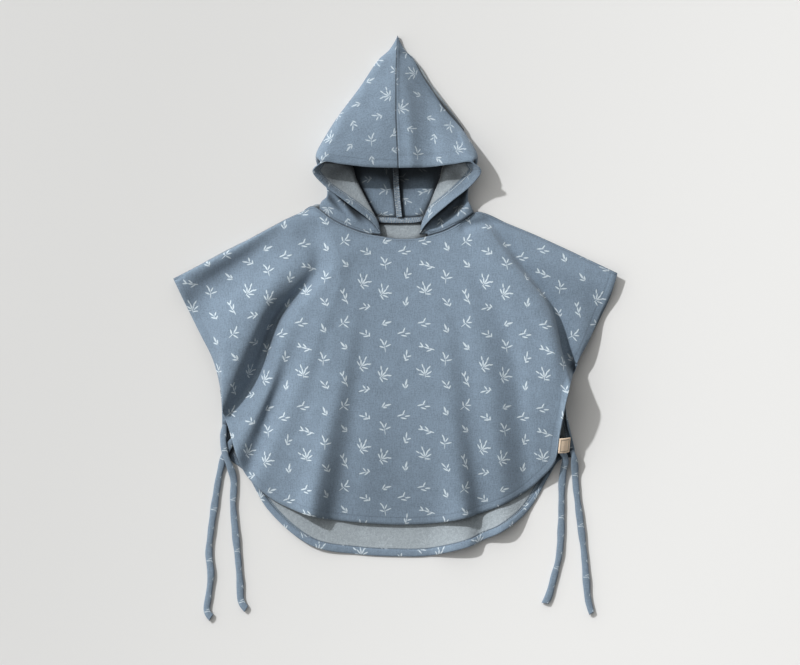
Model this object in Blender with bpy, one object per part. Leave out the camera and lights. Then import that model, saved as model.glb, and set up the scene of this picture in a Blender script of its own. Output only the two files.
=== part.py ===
"""Hooded bath poncho for a small child, laid flat on its back.

Every cut piece is a thin wall of cloth, lofted through lines that run down the panel.
The tables are in millimetres, and each point is (x, y, z): +X to the right of the laid
garment, +Y towards the hood's peak, +Z up from the surface that it lies on.
"""

import math
from collections import namedtuple

import bpy
import numpy as np
from mathutils import Euler, Vector

MM = 0.001

# Driving dimensions, in millimetres
CLOTH = 1.5           # wall of the printed cotton
SEAM_GAP = 0.3        # between two pieces that are sewn together
LAYER_GAP = 0.3       # between two layers that lie on each other
HEM_TURN = 11.0       # width of the turned-in back hem
HEM_CLOTH = 1.1       # wall of the hem's turned-in layer
HEM_ENDS = ("left_neck", "right_notch")   # the back panel's lines where the turned hem starts and ends
LINING_CLOTH = 1.3
TIE_WIDTH = 10.5
TIE_THICKNESS = 4.0
TIE_SIDES = 8
TIE_STEPS = 2         # rings in each stretch of a tie's route
LABEL_SIZE = (16.0, 21.0)
LABEL_CLOTH = 1.0
LABEL_CORNER = (229.3, -199.0, 32.2)      # its upper corner at the panel's edge
LABEL_FALL = (5.0, 8.0)                   # how far it slopes down across its width and along its height
LABEL_TURN = -1.5                         # degrees that it turns in plan, to lie along the edge

# Steps of each loft: down the panel between two named sections, and across between two lines
FRONT_STEPS = (5, 2)
BACK_STEPS = (4, 2)
HOOD_STEPS = (3, 2)
LINING_STEPS = (1, 2)

# The front panel's outer face. One line a row, from the neck or shoulder down to the edge.
FRONT_LINES = (
    # name, then (x, y, z) at the top, upper, middle, lower and edge sections
    ("left_hem", (-310, 24.5, 4.2), (-293, -11, 8.5), (-273, -52, 10), (-255, -88, 13), (-242, -140, 10)),
    ("left_sleeve", (-250, 56, 3.4), (-240, 20, 17), (-243, -22, 26), (-246, -82, 26), (-241.8, -150, 10)),
    ("left_ridge", (-195, 85, 3.4), (-183, 41, 25.5), (-213, -12, 35), (-236, -80, 33), (-241, -158, 10)),
    ("left_brow", (-172, 97.5, 3.4), (-158, 45, 26.5), (-193, -17, 33), (-221, -86, 31), (-240, -163, 9.5)),
    ("left_slope", (-150, 109, 3.4), (-136, 47, 24), (-173, -22, 22.5), (-204, -92, 22.5), (-239, -167, 8.5)),
    ("left_gully", (-132, 116.4, 3.4), (-119, 46, 18), (-156, -27, 9.5), (-189, -98, 8.5), (-237, -171, 8.5)),
    ("left_crest", (-119, 120, 4.6), (-108, 45, 21.5), (-148, -26, 22), (-182, -103, 21), (-234.5, -181, 10)),
    ("left_hump", (-108, 117, 7.5), (-100, 43, 24), (-138, -29, 28), (-182, -123, 29.5), (-229, -204, 13)),
    ("left_crease", (-98, 112, 9.5), (-93, 39, 26.5), (-128, -34, 31), (-174, -136, 23.5), (-212, -240, 5.5)),
    ("left_bulge", (-89, 107, 10.5), (-87, 33, 28), (-119, -42, 34), (-164, -145, 31), (-204, -257, 9.5)),
    ("left_low", (-74, 99.5, 11), (-80, 20, 30), (-106, -68, 36), (-142, -172, 31), (-176, -282, 8)),
    ("left_quarter", (-58, 92.8, 11), (-68, 6, 31), (-92, -90, 36.5), (-115, -196, 30), (-135, -302.5, 8.5)),
    ("long_rise", (-48, 89.2, 10.8), (-57, -2, 32), (-80, -100, 37.5), (-97, -206, 32.5), (-102, -311.5, 14)),
    ("long_flank", (-38, 86.6, 10.6), (-45, -8, 32.5), (-64, -106, 36), (-80, -212, 25.5), (-82, -314, 8)),
    ("left_centre", (-22, 83.8, 10.5), (-25, -13, 33), (-34, -112, 36), (-42, -218, 27), (-50, -316.5, 8)),
    ("centre", (4, 80, 10.5), (4, -15, 34), (4, -115, 36), (4, -220, 26.5), (4, -319.5, 8)),
    ("right_centre", (30, 80.6, 10.5), (36, -13, 33.5), (44, -111, 37), (50, -217, 28), (55, -317.5, 8.5)),
    ("right_dip", (46, 83.6, 10.8), (60, -8, 33), (76, -103, 36), (87, -208, 25.5), (89, -313, 8)),
    ("right_ridge", (56, 86.6, 11), (78, 0, 33), (97, -95, 38), (110, -200, 33), (113, -306.5, 12.5)),
    ("right_quarter", (68, 90.5, 11.2), (97, 8, 33), (121, -84, 39), (134, -188, 33), (143, -294.5, 11)),
    ("outer_dip", (78, 95.2, 11.5), (113, 17, 32), (146, -70, 36), (159, -172, 29.5), (174, -279, 10)),
    ("right_low", (87, 100.2, 12), (128, 26, 32.5), (170, -56, 41), (187, -148, 39), (202, -256.5, 14)),
    ("right_label", (95, 105.5, 12), (140, 36, 32), (190, -40, 43), (211, -125, 45), (222, -233, 21)),
    ("right_high", (101, 110, 11.5), (148, 45, 30), (202, -25, 42), (224, -98, 47), (228, -196, 34)),
    ("right_side", (107, 114.5, 10), (155, 50, 27), (208.5, -17, 37), (230, -84, 43), (235.5, -155, 47)),
    ("right_crest", (114, 117.5, 7.5), (161, 52, 23), (214, -15, 31), (234.5, -87, 37), (243.5, -123, 46)),
    ("right_flank", (120, 117.4, 6), (166, 52.5, 18), (217, -15.5, 20), (234.5, -86, 24), (247, -114.5, 30)),
    ("right_valley", (128, 114.9, 4.4), (172, 52, 16), (221, -14.5, 15), (239, -84, 15), (249, -108.5, 15)),
    ("right_bank", (152, 103.8, 3.4), (191, 48, 15), (232, -11, 16), (252, -77, 16.5), (250.5, -103, 12.5)),
    ("right_sleeve", (205, 81.5, 3.4), (233, 37, 13), (257, -7, 12.5), (262, -70, 12), (251.5, -98.5, 12)),
    ("right_hem", (310, 31.5, 9), (302, 6, 8.5), (286, -28, 7), (271, -62, 11.5), (254, -93, 12)),
)

# Soft folds of the front panel: half width, then points (x, y, rise) along each, with a dip below zero
FRONT_FOLDS = (
    ("shoulder_dip", 13, (-139, 109, -2), (-203, 60, -7), (-272, 18, -4)),
    ("neck_crease", 8, (99, 96, -3), (120, 103, -3), (146, 100, 0)),
)

# The back panel's outer face, which lies on the surface
BACK_LINES = (
    # name, then (x, y, z) at the top, upper, middle, lower and edge sections
    ("left_hem", (-309, 22, 0), (-292, -13, 0), (-272, -54, 0), (-254, -92, 1), (-241, -155, 1)),
    ("left_sleeve", (-240, 62, 0), (-238, 10, 0), (-238, -40, 0), (-238, -100, 0), (-242, -191, 0)),
    ("left_root", (-175, 93, 0), (-180, 25, 0), (-195, -40, 0), (-212, -120, 0), (-236, -223, 0)),
    ("left_neck", (-112, 119, 0), (-122, 40, 0), (-145, -45, 0), (-175, -145, 0), (-210, -246, 0)),
    ("left_quarter", (-72, 114.5, 0), (-84, 10, 0), (-110, -90, 0), (-135, -195, 0), (-176, -301, 1)),
    ("left_corner", (-46, 105.5, 0), (-56, -5, 0), (-75, -115, 0), (-95, -230, 0), (-117, -349, 4)),
    ("left_centre", (-20, 101.8, 0), (-28, -12, 0), (-38, -125, 0), (-45, -245, 0), (-52, -361, 0)),
    ("centre", (4, 101, 0), (4, -15, 0), (4, -130, 0), (4, -250, 0), (4, -364, 0)),
    ("right_centre", (30, 102, 0), (36, -12, 0), (44, -125, 0), (46, -245, 0), (48, -363, 0)),
    ("right_corner", (54, 105.5, 0), (68, -5, 0), (82, -115, 0), (90, -230, 0), (97, -353, 2)),
    ("right_wave", (70, 110.5, 0), (92, 5, 0), (108, -105, 0), (116, -215, 0), (131, -338, 9)),
    ("right_dip", (86, 116, 0), (112, 15, 0), (134, -90, 0), (146, -195, 0), (166, -319, 4)),
    ("right_swell", (100, 120, 0), (132, 25, 0), (160, -75, 0), (176, -170, 0), (195, -285, 9)),
    ("right_notch", (114, 116, 0), (152, 25, 0), (184, -65, 0), (204, -148, 0), (215, -250, 8)),
    ("right_tuck", (135, 111, 0), (168, 25, 0), (196, -58, 0), (216, -138, 1), (230, -229, 8)),
    ("right_edge", (160, 100, 0), (188, 22, 0), (210, -52, 0), (228, -128, 2), (250.5, -222, 8)),
    ("right_slit", (190, 87.2, 0), (212, 18, 0), (226, -46, 0), (234, -114, 3), (241, -183, 9)),
    ("right_side", (235, 67.2, 0), (246, 16, 0), (246, -36, 0), (243, -88, 2), (238, -142, 7)),
    ("right_hem", (309, 29.5, 0), (302.5, 4, 0), (287, -30, 0), (270, -64, 2), (252, -97, 5)),
)

# The hood's centre seam wanders: its distance from the garment's middle at some places up the hood
HOOD_SEAM = ((100, 8.0), (180, 4.5), (250, 1.5), (306, 1.5), (364, 3.3))
HOOD_HALF = 120.0     # half the hood's width, over which half of that distance fades

# One half of the hood. Each row is a line of the cloth from the face edge, round the side, to the
# back centre seam. The first number of a point is its distance from the centre seam.
HOOD_LINES = (
    ("crown", (0, 178.5, 36), (0, 205, 36), (0, 236, 34), (0, 270, 30), (0, 305, 23),
     (0, 340, 13), (0, 364, 6), (0, 361.5, 0), (0, 350, 0)),
    ("tip", (20, 178.8, 37.5), (20.5, 208, 37), (21, 240, 34), (21.5, 270, 28), (22, 302, 19),
     (18.5, 337, 6), (13, 338.5, 0), (6.5, 337.5, 0), (0, 336.5, 0)),
    ("upper", (42, 179.5, 39), (44, 205, 38), (46, 233, 33), (48, 258, 26), (49.5, 278, 18),
     (50, 292.5, 8), (40, 299, 0), (20, 304, 0), (0, 307, 0)),
    ("middle", (78, 183.5, 42), (83, 197, 41), (88, 209, 37), (92, 219, 31), (95, 225.5, 23),
     (95.5, 229, 14), (86, 236, 0), (43, 250, 0), (0, 258, 0)),
    ("lower", (103, 185.5, 43), (107, 188.5, 42), (110, 191, 37), (112, 193, 31), (113, 194, 24),
     (112.5, 194, 14), (103, 196, 0), (52, 205, 0), (0, 212, 0)),
    ("corner", (117.5, 174, 38), (119, 173.5, 31), (118.5, 173.5, 24), (116.5, 173.5, 17), (113.5, 174, 11),
     (108.5, 174, 5), (96, 175, 0), (50, 178, 0), (0, 181, 0)),
    ("lapel", (105.5, 156.5, 32), (84, 156.5, 19), (56, 156, 9), (72, 155, 5.8), (88, 153, 8),
     (99, 149, 7), (90, 147, 0), (46, 147, 0), (0, 150, 0)),
    ("roll", (71, 129, 25), (57, 129, 17), (44, 128.5, 9), (58, 128, 6.5), (80, 130, 11),
     (98, 134, 8), (90, 134.5, 0), (46, 127, 0), (0, 126, 0)),
    ("base", (38, 101.5, 16), (35, 101, 13.5), (31, 100.5, 10.5), (42, 100.5, 9.5), (69, 108, 12.5),
     (102.5, 123.5, 8.5), (96, 126, 0), (49, 114.5, 0), (0, 112, 0)),
    ("neck", (27.5, 86.5, 13.5), (28, 86.4, 12.3), (29, 86, 11), (40, 88, 10.5), (69, 95, 11.5),
     (106, 115, 10), (99, 120.5, 0), (50, 107, 0), (0, 102, 0)),
)
HOOD_SEWN_FRONT = (3, 5)      # stations of the neck row that are sewn to the front panel's neckline
HOOD_SEWN_BACK = (6, 8)       # and to the back panel's

# The lining lies on the hood's back layer. Its outer edge: distance from the seam, and y.
LINING_LINES = (
    # name      seam side    middle       outer edge
    ("neck",   (0, 104.5), (22, 105.5), (44, 109.5)),
    ("roll",   (0, 128.0), (23, 128.0), (46, 128.5)),
    ("lapel",  (0, 155.0), (30, 155.0), (60, 155.5)),
    ("mouth",  (0, 180.0), (34, 180.0), (66, 180.0)),
    ("inside", (0, 235.0), (33, 233.0), (64, 226.0)),
)

# Each tie's centre line, from its root under the garment's edge to its cut end
TIES = {
    "tie_left_outer": (
        (-224, -196, 3.9), (-230, -206, 3.9), (-236, -217, 4.0), (-240.5, -228, 3.2), (-246, -249, 2.3),
        (-252.5, -290, 2.2), (-258, -329, 2.8), (-260.8, -360, 2.2), (-258, -389, 2.8), (-260.8, -417, 2.2),
        (-263.5, -440, 2.2), (-257.5, -450, 3.0)),
    "tie_left_inner": (
        (-238.5, -180, 4.0), (-240.5, -196, 5.8), (-240, -208, 7.8), (-237, -223, 8.6), (-231, -239, 6.6),
        (-226, -257, 3.0), (-227, -290, 2.8), (-225.8, -308, 2.2), (-223, -339, 2.8), (-220.2, -366, 2.2),
        (-217.4, -399, 2.2), (-215.5, -427, 2.2), (-208.5, -438, 3.0)),
    "tie_right_inner": (
        (223.5, -212, 22.6), (230.5, -217, 19.8), (236, -223, 15.5), (237.6, -231, 11.6), (235.5, -243, 5.5),
        (233.3, -262, 2.4), (232.6, -290, 2.8), (232.1, -325, 2.2), (229.3, -363, 2.8), (222.3, -392, 2.2),
        (215.3, -418, 2.2), (209.5, -430, 3.0)),
    "tie_right_outer": (
        (246.5, -216, 11.8), (249.6, -225, 11.7), (250.8, -236, 7.5), (251.5, -248, 3.4), (253.1, -270, 2.4),
        (258.7, -315, 2.8), (264.3, -361, 2.2), (267.1, -396, 2.8), (269.9, -425, 2.2), (275, -444, 3.0)),
}

Colour = namedtuple("Colour", "name rgb roughness")
PRINTED_CLOTH = Colour("printed cotton", (0.19, 0.25, 0.32), 0.9)
LINING = Colour("printed lining", (0.15, 0.20, 0.27), 0.9)
HEM = Colour("turned hem", (0.21, 0.28, 0.35), 0.9)
TIE = Colour("tie cloth", (0.17, 0.23, 0.30), 0.9)
LABEL = Colour("tan label", (0.62, 0.47, 0.33), 0.8)


# Curves and grids

def knots_of(points):
    """Centripetal spacing, which keeps a curve from looping between close points."""
    chords = np.linalg.norm(np.diff(points, axis=0), axis=1)
    return np.concatenate([[0.0], np.cumsum(np.sqrt(np.maximum(chords, 1e-6)))])


def spline(points, steps):
    """A smooth curve through the points, with the same number of steps in each stretch."""
    points = np.asarray(points, float)
    knots = knots_of(points)
    spans = np.diff(knots)[:, None]
    slopes = np.diff(points, axis=0) / spans
    tangents = np.empty_like(points)
    before, after = spans[:-1], spans[1:]
    tangents[1:-1] = (slopes[:-1] * after + slopes[1:] * before) / (before + after)
    tangents[0] = 1.5 * slopes[0] - 0.5 * tangents[1]
    tangents[-1] = 1.5 * slopes[-1] - 0.5 * tangents[-2]
    curve = []
    for index, span in enumerate(spans[:, 0]):
        for step in range(steps):
            t = step / steps
            curve.append((2 * t**3 - 3 * t**2 + 1) * points[index]
                         + (t**3 - 2 * t**2 + t) * span * tangents[index]
                         + (3 * t**2 - 2 * t**3) * points[index + 1]
                         + (t**3 - t**2) * span * tangents[index + 1])
    curve.append(points[-1])
    return np.array(curve)


def loft(lines, steps):
    """A grid through the lines of a table: rows run across, and columns down the lines."""
    down, across = steps
    columns = [spline(line[1:], down) for line in lines]
    return np.array([spline(section, across) for section in np.stack(columns, axis=1)])


def fold_rise(plan, path, half_width):
    """How far a soft fold lifts each point: it fades away from its path, and past its ends."""
    nodes = spline(path, 6)
    nearest = np.full(plan.shape[:2], np.inf)
    rise = np.zeros(plan.shape[:2])
    for start, end in zip(nodes[:-1], nodes[1:]):
        run = end[:2] - start[:2]
        share = np.clip(((plan - start[:2]) @ run) / (run @ run), 0.0, 1.0)
        distance = np.linalg.norm(plan - start[:2] - share[:, :, None] * run, axis=2)
        closer = distance < nearest
        nearest[closer] = distance[closer]
        rise[closer] = (start[2] + (end[2] - start[2]) * share)[closer]
    return rise * np.exp(-(nearest / half_width) ** 2)


def normals_of(grid):
    """Unit normals of a grid's points, each from the cells around it."""
    cells = np.cross(grid[1:, 1:] - grid[:-1, :-1], grid[:-1, 1:] - grid[1:, :-1])
    normals = np.zeros_like(grid)
    for rows in (slice(None, -1), slice(1, None)):
        for columns in (slice(None, -1), slice(1, None)):
            normals[rows, columns] += cells
    return normals / np.linalg.norm(normals, axis=2, keepdims=True)


def wall(outer, inner):
    """Points and faces of a closed wall between two grids of the same shape."""
    rows, columns = outer.shape[:2]
    count = rows * columns
    points = np.concatenate([outer.reshape(-1, 3), inner.reshape(-1, 3)])

    def corner(row, column, side):
        return side * count + row * columns + column

    faces = []
    for row in range(rows - 1):
        for column in range(columns - 1):
            quad = [corner(row, column, 0), corner(row + 1, column, 0),
                    corner(row + 1, column + 1, 0), corner(row, column + 1, 0)]
            faces.append(quad)
            faces.append([index + count for index in reversed(quad)])
    rim = [(row, 0) for row in range(rows - 1)]
    rim += [(rows - 1, column) for column in range(columns - 1)]
    rim += [(row, columns - 1) for row in range(rows - 1, 0, -1)]
    rim += [(0, column) for column in range(columns - 1, 0, -1)]
    for here, after in zip(rim, rim[1:] + rim[:1]):
        faces.append([corner(*here, 0), corner(*here, 1), corner(*after, 1), corner(*after, 0)])
    return points, faces


# Objects

def material_of(colour):
    """The Principled material of one kind of cloth."""
    material = bpy.data.materials.get(colour.name)
    if material is None:
        material = bpy.data.materials.new(colour.name)
        material.use_nodes = True
        shader = material.node_tree.nodes["Principled BSDF"]
        shader.inputs["Base Color"].default_value = (*colour.rgb, 1.0)
        shader.inputs["Roughness"].default_value = colour.roughness
        shader.inputs["Metallic"].default_value = 0.0
        material.diffuse_color = (*colour.rgb, 1.0)
    return material


def add_piece(collection, name, points, faces, colour):
    """One closed piece, from points in millimetres."""
    mesh = bpy.data.meshes.new(name)
    mesh.from_pydata((points * MM).tolist(), [], faces)
    mesh.validate()
    mesh.materials.append(material_of(colour))
    mesh.shade_smooth()
    mesh.set_sharp_from_angle(angle=math.radians(50))
    piece = bpy.data.objects.new(name, mesh)
    collection.objects.link(piece)
    return piece


def front_faces():
    """The front panel's outer and inner face. The inner one stays clear of the back panel."""
    outer = loft(FRONT_LINES, FRONT_STEPS)
    outer[1:-1, :, 2] += sum(fold_rise(outer[1:-1, :, :2], fold[2:], fold[1]) for fold in FRONT_FOLDS)
    lowest = CLOTH + LAYER_GAP
    outer[:, :, 2] = np.maximum(outer[:, :, 2], lowest + CLOTH)
    inner = outer - normals_of(outer) * CLOTH
    inner[:, :, 2] = np.maximum(inner[:, :, 2], lowest)
    return outer, inner


def add_front(collection):
    """The front panel: its table gives the outer face, and the wall goes down from it."""
    add_piece(collection, "body_front", *wall(*front_faces()), PRINTED_CLOTH)


def back_faces():
    """The back panel's underside and its upper face."""
    under = loft(BACK_LINES, BACK_STEPS)
    under[:, :, 2] = np.maximum(under[:, :, 2], 0.0)
    upper = under + normals_of(under) * CLOTH
    upper[:, :, 2] = np.maximum(upper[:, :, 2], CLOTH)
    return under, upper


def add_back(collection):
    """The back panel, print down, with its hem's turned-in layer on its upper face."""
    under, upper = back_faces()
    add_piece(collection, "body_back", *wall(upper, under), PRINTED_CLOTH)
    names = [line[0] for line in BACK_LINES]
    first, last = (names.index(name) * BACK_STEPS[1] for name in HEM_ENDS)
    edge = upper[-1, first:last + 1]
    panel = upper[-2, first:last + 1]
    inward = panel - edge
    turned = edge + inward * HEM_TURN / np.linalg.norm(inward, axis=1, keepdims=True)
    lift = normals_of(upper)[-1, first:last + 1]
    lower = np.array([turned, edge]) + lift * LAYER_GAP
    above = lower + lift * HEM_CLOTH
    add_piece(collection, "back_hem", *wall(above, lower), HEM)


def hood_loft(rows, steps):
    """A grid through the hood's rows: steps are those along a row, and those from row to row."""
    around, along = steps
    stations = np.array(rows, float)
    lengthwise = [spline(stations[:, index], along) for index in range(stations.shape[1])]
    return np.array([spline(section, around) for section in np.stack(lengthwise, axis=1)])


def from_seam(grid, side):
    """Places a grid beside the hood's centre seam: side is -1 on the left and +1 on the right."""
    placed = grid.copy()
    reach = np.maximum(grid[:, :, 0], SEAM_GAP / 2)
    seam = np.interp(grid[:, :, 1], *np.transpose(HOOD_SEAM)) * (1 - reach / HOOD_HALF / 2)
    placed[:, :, 0] = seam + side * reach
    return placed


def sew_to(row, edge):
    """Moves part of the hood's neck row to a seam's gap above a panel's top edge."""
    row[:, 1] = np.interp(row[:, 0], edge[:, 0], edge[:, 1])
    row[:, 2] = np.interp(row[:, 0], edge[:, 0], edge[:, 2])
    by_x = row[np.argsort(row[:, 0])]
    beside = edge[(edge[:, 0] > by_x[0, 0]) & (edge[:, 0] < by_x[-1, 0])]
    cut = beside[:, 1] - np.interp(beside[:, 0], by_x[:, 0], by_x[:, 1])
    row[:, 1] += SEAM_GAP + max(0.0, cut.max())


def outward(faces, side):
    """The same faces, turned on the left side, where the grid is mirrored."""
    return faces if side > 0 else [face[::-1] for face in faces]


def add_hood(collection, name, side):
    """One half of the hood, from the face edge round to the back centre seam."""
    outer = hood_loft([line[1:] for line in HOOD_LINES], HOOD_STEPS)
    outer[:, :, 2] = np.maximum(outer[:, :, 2], 0.0)
    inner = from_seam(outer - normals_of(outer) * CLOTH, side)
    outer = from_seam(outer, side)
    front_outer, front_inner = front_faces()
    back_under, back_upper = back_faces()
    for (first, last), outer_edge, inner_edge in ((HOOD_SEWN_FRONT, front_outer[0], front_inner[0]),
                                                  (HOOD_SEWN_BACK, back_under[0], back_upper[0])):
        sewn = slice(first * HOOD_STEPS[0], last * HOOD_STEPS[0] + 1)
        sew_to(outer[-1, sewn], outer_edge)
        sew_to(inner[-1, sewn], inner_edge)
    points, faces = wall(outer, inner)
    add_piece(collection, name, points, outward(faces, side), PRINTED_CLOTH)


def add_lining(collection, name, side):
    """One half of the hood's lining, flat on the hood's back layer."""
    plan = hood_loft([line[1:] for line in LINING_LINES], LINING_STEPS)
    plan = from_seam(plan, side)
    lower = np.dstack([plan, np.full(plan.shape[:2], CLOTH + LAYER_GAP)])
    upper = lower + (0.0, 0.0, LINING_CLOTH)
    points, faces = wall(lower, upper)
    add_piece(collection, name, points, outward(faces, side), LINING)


def add_curve(collection, name, dimensions, points, cyclic):
    """A curve object through points in millimetres, with straight runs between them."""
    curve = bpy.data.curves.new(name, "CURVE")
    curve.dimensions = dimensions
    path = curve.splines.new("POLY")
    path.use_cyclic_u = cyclic
    path.points.add(len(points) - 1)
    for point, place in zip(path.points, points):
        point.co = (*(np.array(place) * MM), 1.0)
    piece = bpy.data.objects.new(name, curve)
    collection.objects.link(piece)
    return piece


def add_tie_section(collection):
    """The flat oval that every tie is swept from. It is a guide, and not part of the garment."""
    angles = (np.arange(TIE_SIDES) + 0.5) * 2 * math.pi / TIE_SIDES
    oval = [(TIE_WIDTH / 2 * math.cos(angle), -TIE_THICKNESS / 2 * math.sin(angle), 0.0)
            for angle in angles]
    section = add_curve(collection, "tie_section", "2D", oval, True)
    section.hide_render = True
    section.display_type = "WIRE"
    return section


def add_tie(collection, name, route, section):
    """A flat sewn tube of cloth along its route, with closed ends."""
    tie = add_curve(collection, name, "3D", spline(route, TIE_STEPS), False)
    tie.data.twist_mode = "Z_UP"
    tie.data.bevel_mode = "OBJECT"
    tie.data.bevel_object = section
    tie.data.use_fill_caps = True
    tie.data.materials.append(material_of(TIE))


def add_label(collection):
    """The bare tab in the front panel's right edge."""
    width, height = LABEL_SIZE
    across, along = LABEL_FALL
    turn = Euler((math.atan2(along, height), math.atan2(across, width), math.radians(LABEL_TURN)))
    middle = Vector(LABEL_CORNER) + turn.to_matrix() @ Vector((width / 2, -height / 2, 0.0))
    bpy.ops.mesh.primitive_cube_add(size=1, location=middle * MM, rotation=turn)
    label = bpy.context.object
    label.name = "label"
    label.dimensions = (width * MM, height * MM, LABEL_CLOTH * MM)
    label.data.materials.append(material_of(LABEL))
    for holder in list(label.users_collection):
        holder.objects.unlink(label)
    collection.objects.link(label)


def main():
    for old in list(bpy.data.objects):
        bpy.data.objects.remove(old)
    collection = bpy.data.collections.new("hooded bath poncho")
    guides = bpy.data.collections.new("guides")
    bpy.context.scene.collection.children.link(collection)
    bpy.context.scene.collection.children.link(guides)
    add_back(collection)
    add_front(collection)
    for name, side in (("left", -1), ("right", 1)):
        add_hood(collection, "hood_" + name, side)
        add_lining(collection, "lining_" + name, side)
    section = add_tie_section(guides)
    for name, route in TIES.items():
        add_tie(collection, name, route, section)
    add_label(collection)


main()
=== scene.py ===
"""Hooded bath poncho for a small child, laid flat on its back: the finish of its cloth.

Every cloth piece is a thin wall, lofted through lines that follow the garment's solids, and with
finer folds. On it come the hems, the seams, the weave and the leaf print. Tables are in
millimetres, and each point is (x, y, z): +X to the right of the laid garment, +Y towards the
hood's peak, +Z up from the surface that it lies on.
"""

import math
from functools import reduce

import bpy
import numpy as np
from bpy.props import FloatProperty, FloatVectorProperty, PointerProperty
from mathutils import Euler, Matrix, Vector
from mathutils.bvhtree import BVHTree


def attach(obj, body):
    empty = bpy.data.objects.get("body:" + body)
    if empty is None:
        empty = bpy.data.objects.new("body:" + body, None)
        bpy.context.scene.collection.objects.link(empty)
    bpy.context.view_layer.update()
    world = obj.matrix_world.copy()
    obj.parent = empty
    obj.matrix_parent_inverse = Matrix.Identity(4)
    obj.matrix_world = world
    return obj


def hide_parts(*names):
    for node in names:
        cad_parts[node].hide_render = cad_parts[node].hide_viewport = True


bl_info = {
    "name": "Hooded bath poncho",
    "version": (1, 0, 0),
    "blender": (4, 5, 0),
    "location": "View3D > Sidebar > Poncho",
    "description": "Builds a laid hooded bath poncho with its print, hems and ties",
    "category": "Object",
}

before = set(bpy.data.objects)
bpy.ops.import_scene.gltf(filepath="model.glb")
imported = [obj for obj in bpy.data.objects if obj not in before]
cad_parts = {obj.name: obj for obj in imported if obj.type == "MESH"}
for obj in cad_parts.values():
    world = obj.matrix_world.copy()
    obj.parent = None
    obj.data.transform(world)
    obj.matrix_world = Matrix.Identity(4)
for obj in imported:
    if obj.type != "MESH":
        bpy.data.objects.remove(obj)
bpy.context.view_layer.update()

MM = 0.001
BODY = "root"

# Sizes in millimetres
SEAM_GAP = 0.3        # between two pieces that are sewn together
LAYER_GAP = 0.3       # between two layers that lie on each other
EDGE_ROUND = 0.5      # how far the rounded edge of a cloth bulges
FAR = 40.0            # from a hem, where nothing of it shows
SEAM_FAR = 20.0       # and from a seam
PLAIN = -5000.0       # along a seam without topstitching
HEM_TURN = 9.0        # width of the turned-in back hem
HEM_CLOTH = 1.1       # wall of the hem's turned-in layer
HEM_ENDS = ("left_neck", "right_notch")   # the back panel's lines where the turned hem starts and ends
HOOD_APART = 170.0    # from zero to the middle of each hood half's flat pattern, so that their prints differ
HOOD_LOW = 4.0        # below which the hood's folds don't press it
OVERLOCK_WIDTH = 7.0
TIE_WIDTH = 9.4
TIE_THICKNESS = 5.2
TIE_SIDES = 20        # round each tie's tube
TIE_ROOT = 14.0       # length over which it widens from its root
TIE_CUT = (3.0, 8.0)  # how far its cut end slants, and over what length
TIE_LIFT = 0.5        # how far it is lifted off its line
TIE_LOWEST = 0.1      # the lowest that its cloth comes
LABEL_SIZE = (17.0, 21.0)
LABEL_CLOTH = 1.0
LABEL_CORNER = (229.3, -199.0, 32.2)      # its upper corner at the panel's edge
LABEL_FALL = (4.0, 6.0)                   # how far it slopes down across its width and along its height
LABEL_DROOP = 6.5                         # how much further its free edge droops
LABEL_TURN = -1.5                         # degrees that it turns in plan, to lie along the edge

# Painted shade: the cloth's colour darkens inside deep folds, by the share of its view that other cloth
# closes off
PANEL_PAINTED_SHADE = (0.3, 0.8)       # the shares between which the front panel darkens
INNER_PAINTED_SHADE = (0.2, 0.55)      # and the sides of the cloth that mostly face inwards
LINING_PAINTED_SHADE = (0.06, 0.44)    # and the hood's lining
DEEP_SHADE = 0.85             # how much the painted shade darkens the colour
DEEP_REACH = 0.07             # how near that cloth is, in metres
DEEP_START = 0.0012           # how far off the cloth the view starts, in metres
DEEP_RAYS = 18                # in how many directions it looks, each turned by the next angle
GOLDEN_ANGLE = 2.399963

# The overlocked seam edges inside the hood: how far each stands up, then the line that it stands along
OVERLOCKS = {
    "neck_overlock": (1.4, (-34, 104.5, 3.3), (-20, 103, 3.3), (4, 102.3, 3.3), (30, 103, 3.3),
                      (52, 106.5, 3.3)),
    "centre_overlock": (4.2, (9.4, 110.5, 3.3), (7.2, 130, 3.3), (5.2, 155, 3.3), (4.2, 180, 3.3),
                        (3, 200, 3.3)),
}

# The camera looks straight down on this place, in metres, with this width of floor in view
VIEW_MIDDLE = (0.00665, -0.0511)
VIEW_WIDTH = 1.12
SENSOR = 36.0         # width of the camera's sensor, in millimetres

# The sky brightens along this direction. Painted light makes the floor's colour lighter towards the lower
# right.
SKY_DIRECTION = (-0.6, 0.55, -0.58)
SKY_SHARES = (0.3, 4.3)       # of the sky's strength, at its dim and its bright end
SKY_COLOUR = (1.0, 0.985, 0.945, 1.0)
SUN_COLOUR = (1.0, 0.995, 0.985)
FLOOR_PAINTED_LIGHT = (0.865, 1.04)  # of the floor's colour, at the dim and the bright end of its painted light

SIDES = {"left": -1, "right": 1}

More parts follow.
